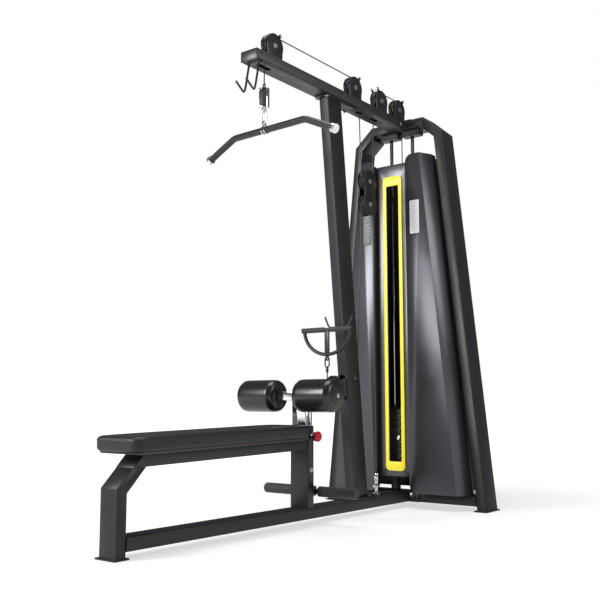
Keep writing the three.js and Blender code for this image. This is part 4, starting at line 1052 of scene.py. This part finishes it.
@dataclass
class Sheaves:
    """All pulleys, the boom's brackets and the floating block."""

    cheek_inner: float = 16.6
    cheek_thick: float = 4.3
    cheek_radius: float = 58.5
    cheek_half: float = 52
    cheek_foot: float = 2146.4
    block_radius: float = 62
    axle_radius: float = 8
    axle_half: float = 21
    keeper_reach: tuple[float, float] = (39, 62)
    keeper_root: tuple[float, float] = (22, 40)
    keeper_radius: float = 4
    ear_radius: float = 8
    sheaves: tuple[Sheave, ...] = (
        Sheave("boom_front", BOOM_FRONT, "front_pulley", 1),
        Sheave("boom_middle", BOOM_MIDDLE, "middle_pulley", 1),
        Sheave("boom_rear", BOOM_REAR, "rear_pulley", -1),
        Sheave("stack", OVER_STACK, "over_stack_pulley", 1),
        Sheave("block_upper", BLOCK_UPPER, "upper_block_pulley"),
        Sheave("block_lower", BLOCK_LOWER, "lower_block_pulley"),
        Sheave("row_front", ROW_FRONT, "low_front_pulley"),
        Sheave("row_mast", ROW_MAST, "low_mast_pulley"))

    def build(self) -> None:
        """Makes eight pulleys, four brackets and the block."""
        for sheave in self.sheaves:
            self.pulley(sheave)
            if sheave.keeper:
                self.bracket(sheave)
        self.block()

    @staticmethod
    def pulley(sheave: Sheave) -> None:
        """One grooved nylon pulley with a recessed web.

        Args:
            sheave: the pulley.
        """
        half = [(8.8, -13.8), (17, -13.8), (19, -12.6), (20, -8), (44, -8), (48, -11), (58.5, -11.6),
                (60.3, -10.2), (60.3, -9), (55.5, -4.4), (51.6, -2.6), (50.6, 0)]
        profile = half + [(radius, -depth) for radius, depth in reversed(half[:-1])]
        node = f"{sheave.label}_pulley"
        work = Workpiece()
        work.turned(profile, sheave.axle.centre(), steps=64)
        work.done(f"{node}_wheel", NYLON, sheave.body, (node,), 40)

    def cheeks(self, work: Workpiece, outline: Sequence[Vector]) -> None:
        """Cuts a cheek plate for each side of a pulley.

        Args:
            work: the workpiece that they are added to.
            outline: the plate's outline in the middle plane, in metres.
        """
        for side in (-1, 1):
            shift = X * (side * self.cheek_inner * MM)
            work.plate([point + shift for point in outline], X * (side * self.cheek_thick * MM))

    def bracket(self, sheave: Sheave) -> None:
        """A pulley bracket on the boom: two arched cheeks, an axle and a cable keeper.

        Args:
            sheave: the pulley that it holds.
        """
        y, z = sheave.axle.y, sheave.axle.z
        root = at(0, y + sheave.keeper * self.keeper_root[0], z + self.keeper_root[1])
        pin = at(0, y + sheave.keeper * self.keeper_reach[0], z + self.keeper_reach[1])
        arch = [at(0, y - self.cheek_half, self.cheek_foot), at(0, y + self.cheek_half, self.cheek_foot)]
        arch += arc(sheave.axle.centre(), self.cheek_radius * MM, -22, 202, 36, Y, Z)
        along = (pin - root).normalized()
        across = along.cross(X)
        half = across * (self.ear_radius * MM)
        ear = [root - half, root + half] + arc(pin, self.ear_radius * MM, 0, 180, 12, across, along)
        work = Workpiece()
        self.cheeks(work, arch)
        self.cheeks(work, ear)
        work.done(f"{sheave.label}_cheeks", POWDER, replaces=(f"{sheave.label}_bracket",))
        steel = Workpiece()
        for side in (-1, 1):
            face = X * (side * (self.cheek_inner + self.cheek_thick) * MM)
            steel.bolt(sheave.axle.centre() + face, X * side, 10, 5.5)
            steel.bolt(pin + face, X * side, 4.5, 3)
        steel.turned(rod(self.axle_radius, self.axle_half), sheave.axle.centre(), steps=24)
        steel.turned(rod(self.keeper_radius, self.axle_half), pin, steps=20)
        steel.done(f"{sheave.label}_axle", ZINC)

    def block(self) -> None:
        """The floating block: two waisted cheeks and their axles."""
        low, high = BLOCK_LOWER.centre(), BLOCK_UPPER.centre()
        radius = self.block_radius * MM
        work = Workpiece()
        self.cheeks(work, arc(high, radius, -38, 218, 48, Y, Z) + arc(low, radius, 142, 398, 48, Y, Z))
        work.done("block_cheeks", POWDER, "block", ("floating_block",), 30)
        steel = Workpiece()
        for centre in (low, high):
            steel.turned(rod(self.axle_radius, self.axle_half), centre, steps=24)
            for side in (-1, 1):
                face = X * (side * (self.cheek_inner + self.cheek_thick) * MM)
                steel.bolt(centre + face, X * side, 10, 5)
        steel.done("block_axles", ZINC, "block")


@dataclass
class Cables:
    """Both steel cables, cut where their moving parts meet into runs over pulleys and straight strands."""

    radius: float = 3.0
    sides: int = 12
    stop_top: float = 2016
    selector_top: float = 560
    stud_y: float = 1770
    stud_z: float = 186
    ferrule_top: float = 704

    def build(self) -> None:
        """Makes every run over a pulley and every strand between two bodies."""
        self.over_boom("cable_over_boom_front", BOOM_FRONT, BOOM_MIDDLE, "boom_front_cable")
        self.over_boom("cable_over_boom_rear", BOOM_REAR, OVER_STACK, "boom_rear_cable")
        self.half_turn("cable_under_block", BLOCK_UPPER, "block_lat_cable", 360)
        self.half_turn("cable_over_block", BLOCK_LOWER, "block_row_cable", 0)
        self.low_run()
        hanger = at(0, LAT_Y, self.stop_top)
        plates = at(0, OVER_STACK.y + PITCH_RADIUS, self.selector_top)
        stud = at(0, self.stud_y, self.stud_z)
        ferrule = at(0, ROW_Y, self.ferrule_top)
        for name, a, b, body_a, body_b, nodes in (
                ("hanger_strand", BOOM_FRONT.rim(-1), hanger, "frame", "lat_cable_end", ("hanger_cable",)),
                ("stack_strand", OVER_STACK.rim(1), plates, "frame", "lifted_stack", ("stack_cable",)),
                ("block_front_strand", BOOM_MIDDLE.rim(1), BLOCK_UPPER.rim(-1), "frame", "block", ()),
                ("block_rear_strand", BOOM_REAR.rim(-1), BLOCK_UPPER.rim(1), "frame", "block", ()),
                ("row_rising_strand", ROW_MAST.rim(1), BLOCK_LOWER.rim(-1), "frame", "block", ()),
                ("anchor_strand", stud, BLOCK_LOWER.rim(1), "frame", "block", ()),
                ("row_handle_strand", ROW_FRONT.rim(-1), ferrule, "frame", "row_grip",
                 ("row_handle_cable",))):
            self.strand(name, a, b, nodes)

    def wire(self, path: Sequence[Vector]) -> Workpiece:
        """Starts a cable along a path.

        Args:
            path: the cable's centreline, in metres.

        Returns:
            The workpiece.
        """
        return Workpiece().tube(path, self.radius * MM, self.sides)

    def over_boom(self, name: str, first: Axle, second: Axle, node: str) -> None:
        """The run over two pulleys on the boom.

        Args:
            name: the piece's name.
            first: the front pulley's axle.
            second: the rear pulley's axle.
            node: the CAD node that it stands for.
        """
        path = arc(first.centre(), PITCH_RADIUS * MM, 180, 90, 14, Y, Z)
        path += arc(second.centre(), PITCH_RADIUS * MM, 90, 0, 14, Y, Z)
        self.wire(path).done(name, CABLE, replaces=(node,), smooth=50)

    def half_turn(self, name: str, axle: Axle, node: str, end: float) -> None:
        """The half turn round a pulley of the floating block.

        Args:
            name: the piece's name.
            axle: the pulley's axle.
            node: the CAD node that it stands for.
            end: the last angle: 360 if the cable passes under the pulley and 0 if over it.
        """
        path = arc(axle.centre(), PITCH_RADIUS * MM, 180, end, 28, Y, Z)
        self.wire(path).done(name, CABLE, "block", (node,), 50)

    def low_run(self) -> None:
        """The run under the two low pulleys."""
        rise = math.degrees(math.atan2(ROW_MAST.z - ROW_FRONT.z, ROW_MAST.y - ROW_FRONT.y))
        path = arc(ROW_FRONT.centre(), PITCH_RADIUS * MM, 180, 270 + rise, 16, Y, Z)
        path += arc(ROW_MAST.centre(), PITCH_RADIUS * MM, 270 + rise, 360, 12, Y, Z)
        self.wire(path).done("cable_low_run", CABLE, replaces=("row_mast_cable",), smooth=50)

    def strand(self, name: str, a: Vector, b: Vector,
               nodes: tuple[str, ...]) -> None:
        """A straight strand from one end to the other, baked in place on no body.

        Args:
            name: the piece's name.
            a: one end.
            b: the other end.
            nodes: the CAD nodes that it stands for.
        """
        steps = max(4, int((b - a).length / 0.04))
        path = [a.lerp(b, i / steps) for i in range(steps + 1)]
        piece = self.wire(path).done(name, CABLE, "", nodes, 50)
        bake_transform(piece)


@dataclass
class LatStation:
    """The hanger's stop, its snap hook and the bent lat bar."""

    bar_z: float = 1796
    half: float = 245
    end: float = 201
    bend: float = 22
    bend_steps: int = 12
    droop: float = 23
    offset: float = 30
    yaw: float = -9
    tilt: float = 2.7
    tube_radius: float = 15.5
    cap_radius: float = 20.5
    clip_radius: float = 19

    def build(self) -> None:
        """Makes the stop, the hook, the bar and its caps."""
        axis = at(0, LAT_Y, 0)
        stop = Workpiece()
        barrel = [(0, 1908), (13, 1908), (20, 1911), (22.5, 1917), (22.5, 1978), (20, 1985), (14, 1990),
                  (0, 1991)]
        stop.turned(barrel, axis, Axis.Z, 40)
        stop.done("cable_stop", RUBBER, "lat_grip", ("lat_stop",))
        yoke = Workpiece()
        for side in (-1, 1):
            yoke.block(at(side * 22 - 3, LAT_Y - 9, 1902), at(side * 22 + 3, LAT_Y + 9, 1992), 0.0015)
        socket = [(0, 1988), (9, 1988), (24, 1990), (24, 1995), (11, 1998), (7, 2004), (7, 2017), (4, 2020),
                  (0, 2020)]
        yoke.turned(socket, axis, Axis.Z, 32)
        yoke.turned([(0, 1901), (24, 1901), (24, 1906), (10, 1908.5), (0, 1908.5)], axis, Axis.Z, 32)
        yoke.tube(eye(LAT_Y, 1893), EYE_WIRE * MM, 10, closed=True)
        yoke.done("cable_stop_yoke", CHROME, "lat_grip")
        hook = Workpiece()
        hook.tube(oval(LAT_Y, 1843.5, 1877, 14), HOOK_WIRE * MM, 12, closed=True)
        hook.turned([(3.6, -13), (5.6, -13), (5.6, 11), (3.6, 11)], at(14, LAT_Y, 1862), Axis.Z, 20)
        hook.done("lat_snap_hook", CHROME, "lat_grip", ("lat_link",))
        self.bar()

    def pose(self) -> Matrix:
        """Finds where the bar's own frame stands in the machine.

        Returns:
            The matrix from the bar's frame to the machine's.
        """
        hung = Matrix.Translation(at(0, LAT_Y, self.bar_z))
        turned = Matrix.Rotation(math.radians(self.yaw), 4, "Z")
        return hung @ turned @ Matrix.Rotation(math.radians(self.tilt), 4, "Y")

    def bar(self) -> None:
        """The bent bar with chrome end caps, a hanger eye and centre clips."""
        pose = self.pose()
        slope = math.radians(self.droop)

        def spot(x: float, z: float) -> Vector:
            """Finds a point on the bar's line.

            Args:
                x: along the bar, in millimetres from its middle.
                z: above the middle.

            Returns:
                The point in the frame.
            """
            return pose @ Vector(((x + self.offset) * MM, 0, z * MM))

        right: list[tuple[float, float]] = [(self.half - self.bend, 0.0)]
        radius = self.bend / math.tan(slope / 2)
        for i in range(1, self.bend_steps + 1):
            a = slope * i / self.bend_steps
            right.append((self.half - self.bend + radius * math.sin(a), -radius * (1 - math.cos(a))))
        reach = self.end - self.bend
        last = right[-1]
        right.append((last[0] + reach * math.cos(slope), last[1] - reach * math.sin(slope)))
        path = [spot(-x, z) for x, z in reversed(right)] + [spot(x, z) for x, z in right]
        tube = Workpiece()
        tube.tube(path, self.tube_radius * MM, 28)
        tube.done("lat_bar_tube", POWDER, "lat_grip", ("lat_bar",), 50)
        caps = Workpiece()
        for sign in (-1, 1):
            tip = spot(sign * right[-1][0], right[-1][1])
            root = spot(sign * right[-2][0], right[-2][1])
            out = (tip - root).normalized()
            caps.tube([tip - out * 0.014, tip + out * 0.002], self.cap_radius * MM, 28)
            caps.tube([tip + out * 0.0015, tip + out * 0.004], 14 * MM, 28)
        for x in (-4, 14):
            clip = [spot(x - self.offset, 0), spot(x + 7 - self.offset, 0)]
            caps.tube(clip, self.clip_radius * MM, 28)
        caps.tube(eye(LAT_Y, 1827.5), EYE_WIRE * MM, 10, closed=True)
        caps.done("lat_bar_fittings", CHROME, "lat_grip")


@dataclass
class RowStation:
    """The low row handle with its snap hook, the handle rack and the boom's hooks."""

    z: float = 912
    half: float = 138
    drop: float = 122
    bow_radius: float = 9
    grip_radius: float = 13
    rack_z: float = 926
    rack_top: float = 986
    rack_half: float = 56
    rack_tip: float = 84
    rack_gap: float = 6
    rod_radius: float = 5
    mast_foot: tuple[float, float] = (1532, 77)
    mast_head: tuple[float, float] = (1312.5, 2095.5)

    def build(self) -> None:
        """Makes the handle, its hook, the rack and the boom hooks."""
        self.bow()
        self.grips()
        self.hook()
        self.rack()
        self.boom_hooks()

    def bow(self) -> None:
        """The half-round bow, its centre strap and the bar's end caps."""
        work = Workpiece()
        angles = [math.radians(a) for a in range(180, 361, 5)]
        path = [at(self.half * math.cos(a), ROW_Y, self.z + self.drop * math.sin(a)) for a in angles]
        work.tube(path, self.bow_radius * MM, 16)
        work.block(at(-13, ROW_Y - 4.5, 786), at(13, ROW_Y + 4.5, self.z - 4), 0.0015)
        for sign in (-1, 1):
            low, high = sorted((sign * self.half, sign * (self.half + 12)))
            work.tube([at(low, ROW_Y, self.z), at(high, ROW_Y, self.z)], 13.2 * MM, 24)
        work.done("row_handle_bow", POWDER, "row_grip", ("row_handle",), 50)

    def grips(self) -> None:
        """Two ribbed rubber grips and the bare bar between them."""
        work = Workpiece()
        wall = self.grip_radius
        grip = [(0, 18), (12.4, 18), (wall, 20)] + ribs(24, 8, 14, wall, 0.8, 3)
        grip += [(wall, 136), (12.4, 138), (0, 138)]
        middle = at(0, ROW_Y, self.z)
        for sign in (-1, 1):
            work.turned(mirrored(grip, sign), middle, steps=32)
        work.turned(rod(9, 18.5), middle, steps=24)
        work.done("row_handle_grips", RUBBER, "row_grip", smooth=50)

    @staticmethod
    def hook() -> None:
        """The handle's eye, its snap hook and the cable's ferrule."""
        work = Workpiece()
        work.tube(eye(ROW_Y, 773), EYE_WIRE * MM, 10, closed=True)
        work.tube(oval(ROW_Y, 740, 763, 12), HOOK_WIRE * MM, 12, closed=True)
        ferrule = [(0, 701.5), (5, 701.5), (7, 704), (7, 724), (4, 730), (0, 730)]
        work.turned(ferrule, at(0, ROW_Y, 0), Axis.Z, 24)
        work.done("row_snap_hook", DARK_STEEL, "row_grip", ("row_link",))

    @staticmethod
    def smoothed(corners: Sequence[Vector], steps: int = 6) -> list[Vector]:
        """Rounds off each inner corner of a path.

        Args:
            corners: the path's corners, in metres.
            steps: how many steps each rounding has.

        Returns:
            The smoothed path.
        """
        path = [corners[0]]
        for before, corner, after in zip(corners, corners[1:], corners[2:]):
            a, b = corner.lerp(before, 0.35), corner.lerp(after, 0.35)
            for i in range(steps + 1):
                t = i / steps
                path.append(a.lerp(corner, t).lerp(corner.lerp(b, t), t))
        return path + [corners[-1]]

    def rack(self) -> None:
        """The bent rod on the mast that the handle is hung on."""
        (foot_y, foot_z), (head_y, head_z) = self.mast_foot, self.mast_head
        lean = (foot_y - head_y) / (head_z - foot_z)
        y = foot_y - lean * (self.rack_z - 1 - foot_z) - self.rack_gap
        half, tip = self.rack_half, self.rack_tip
        corners = [at(-tip, y + 3, self.rack_top), at(-half, y, self.rack_z), at(half, y, self.rack_z),
                   at(tip, y + 3, self.rack_top)]
        wire = Workpiece()
        wire.tube(self.smoothed(corners, 8), self.rod_radius * MM, 14)
        wire.done("handle_rack", DARK_STEEL, replaces=("mast_prongs",), smooth=50)

    def boom_hooks(self) -> None:
        """The pair of steel hooks under the boom's front end."""
        work = Workpiece()
        work.block(at(-40, 766, 2091), at(40, 788, 2095.6), 0.001)
        for x in (-30, 30):
            side_view = ((777, 2093), (752, 1968), (742, 1953), (728, 1961), (689, 1989))
            corners = [at(x, y, z) for y, z in side_view]
            work.tube(self.smoothed(corners), self.rod_radius * MM, 14)
        work.done("boom_hook_pair", DARK_STEEL, replaces=("boom_hooks",), smooth=50)


@dataclass(frozen=True)
class Softbox:
    """A square soft light: where it stands, what it points at, its width and its power."""

    name: str
    place: tuple[float, float, float]
    aim: tuple[float, float, float]
    width: float
    power: float


@dataclass
class Studio:
    """The floor, the lights and the camera."""

    position: tuple[float, float, float] = (2435.3, -2027.6, 559.2)
    yaw: float = 37.73
    pitch: float = 6.86
    lens: float = 50.82
    room: float = 0.15
    floor_glow: float = 0.6
    far_glow: float = 1.1
    fade_reach: tuple[float, float] = (1.4, 4.5)
    floor_reach: float = 30
    softboxes: tuple[Softbox, ...] = (
        Softbox("key", (-2.0, -4.2, 2.6), (0, 0.3, 1.0), 2.0, 270),
        Softbox("side", (4.6, 0.9, 2.6), (0, 0.9, 1.4), 2.2, 85),
        Softbox("top", (0.2, -0.2, 5.0), (0, 0, 0), 2.6, 170))

    def build(self) -> None:
        """Sets the stage."""
        self.floor()
        self.lights()
        self.camera()

    def floor(self) -> None:
        """A wide pale floor, lit a little from within so that only soft shadows darken it."""
        bm = bmesh.new()
        bmesh.ops.create_grid(bm, x_segments=1, y_segments=1, size=self.floor_reach)
        mesh = bpy.data.meshes.new("studio_floor")
        bm.to_mesh(mesh)
        bm.free()
        floor = bpy.data.objects.new("studio_floor", mesh)
        bpy.context.scene.collection.objects.link(floor)
        look = Finish("pale_floor", (0.42, 0.42, 0.42), (0.45, 0.45, 0.45), (0.4, 0.4, 0.4),
                      gloss=(0.5, 0.6), grain=60, bump=0.0, wear=0.0).material()
        shader = next(n for n in look.node_tree.nodes if n.type == "BSDF_PRINCIPLED")
        shader.inputs["Emission Color"].default_value = (1, 1, 1, 1)
        self.fade_to_white(look.node_tree, shader)
        mesh.materials.append(look)

    def fade_to_white(self, tree: bpy.types.NodeTree, shader: bpy.types.ShaderNode) -> None:
        """Brightens the floor away from the machine, so it meets the white backdrop with no edge.

        Args:
            tree: the floor material's nodes.
            shader: the floor's shader.
        """
        near, far = self.fade_reach
        place = tree.nodes.new("ShaderNodeTexCoord")
        reach = tree.nodes.new("ShaderNodeVectorMath")
        reach.operation = "LENGTH"
        fade = tree.nodes.new("ShaderNodeMapRange")
        fade.interpolation_type = "SMOOTHSTEP"
        fade.inputs["From Min"].default_value = near
        fade.inputs["From Max"].default_value = far
        fade.inputs["To Min"].default_value = self.floor_glow
        fade.inputs["To Max"].default_value = self.far_glow
        tree.links.new(place.outputs["Object"], reach.inputs[0])
        tree.links.new(reach.outputs["Value"], fade.inputs["Value"])
        tree.links.new(fade.outputs["Result"], shader.inputs["Emission Strength"])

    def lights(self) -> None:
        """A soft room with a key light from the left, a side light from the right and a top light."""
        world = bpy.data.worlds.new("studio")
        world.use_nodes = True
        tree = world.node_tree
        room = tree.nodes["Background"]
        room.inputs[0].default_value = (0.94, 0.96, 1.0, 1)
        room.inputs[1].default_value = self.room
        backdrop = tree.nodes.new("ShaderNodeBackground")
        backdrop.inputs[0].default_value = (1, 1, 1, 1)
        seen = tree.nodes.new("ShaderNodeLightPath")
        choose = tree.nodes.new("ShaderNodeMixShader")
        tree.links.new(seen.outputs["Is Camera Ray"], choose.inputs[0])
        tree.links.new(room.outputs[0], choose.inputs[1])
        tree.links.new(backdrop.outputs[0], choose.inputs[2])
        tree.links.new(choose.outputs[0], tree.nodes["World Output"].inputs[0])
        bpy.context.scene.world = world
        for box in self.softboxes:
            lamp = bpy.data.lights.new(box.name, "AREA")
            lamp.size = box.width
            lamp.energy = box.power
            stand = bpy.data.objects.new(box.name, lamp)
            stand.location = box.place
            stand.rotation_euler = (Vector(box.aim) - Vector(box.place)).to_track_quat("-Z", "Y").to_euler()
            bpy.context.scene.collection.objects.link(stand)

    def camera(self) -> None:
        """The camera, low and to the right of the bench's front end."""
        data = bpy.data.cameras.new("view")
        data.lens = self.lens
        data.sensor_width = 36
        camera = bpy.data.objects.new("view", data)
        camera.location = at(*self.position)
        camera.rotation_euler = (math.radians(90 + self.pitch), 0, math.radians(self.yaw))
        bpy.context.scene.collection.objects.link(camera)
        bpy.context.scene.camera = camera
        bpy.context.scene.view_settings.view_transform = "Standard"


def main() -> None:
    """Builds the machine's looks in order and reports each piece."""
    logging.basicConfig(level=logging.INFO, format="%(message)s")
    Framework().dress()
    for assembly in (Fasteners(), Shroud(), Bench(), ThighSupport(), Pegs(), Sheaves(), Cables(),
                     LatStation(), RowStation(), Studio()):
        LOG.info("building %s", type(assembly).__name__)
        assembly.build()


if __name__ == "__main__":
    main()
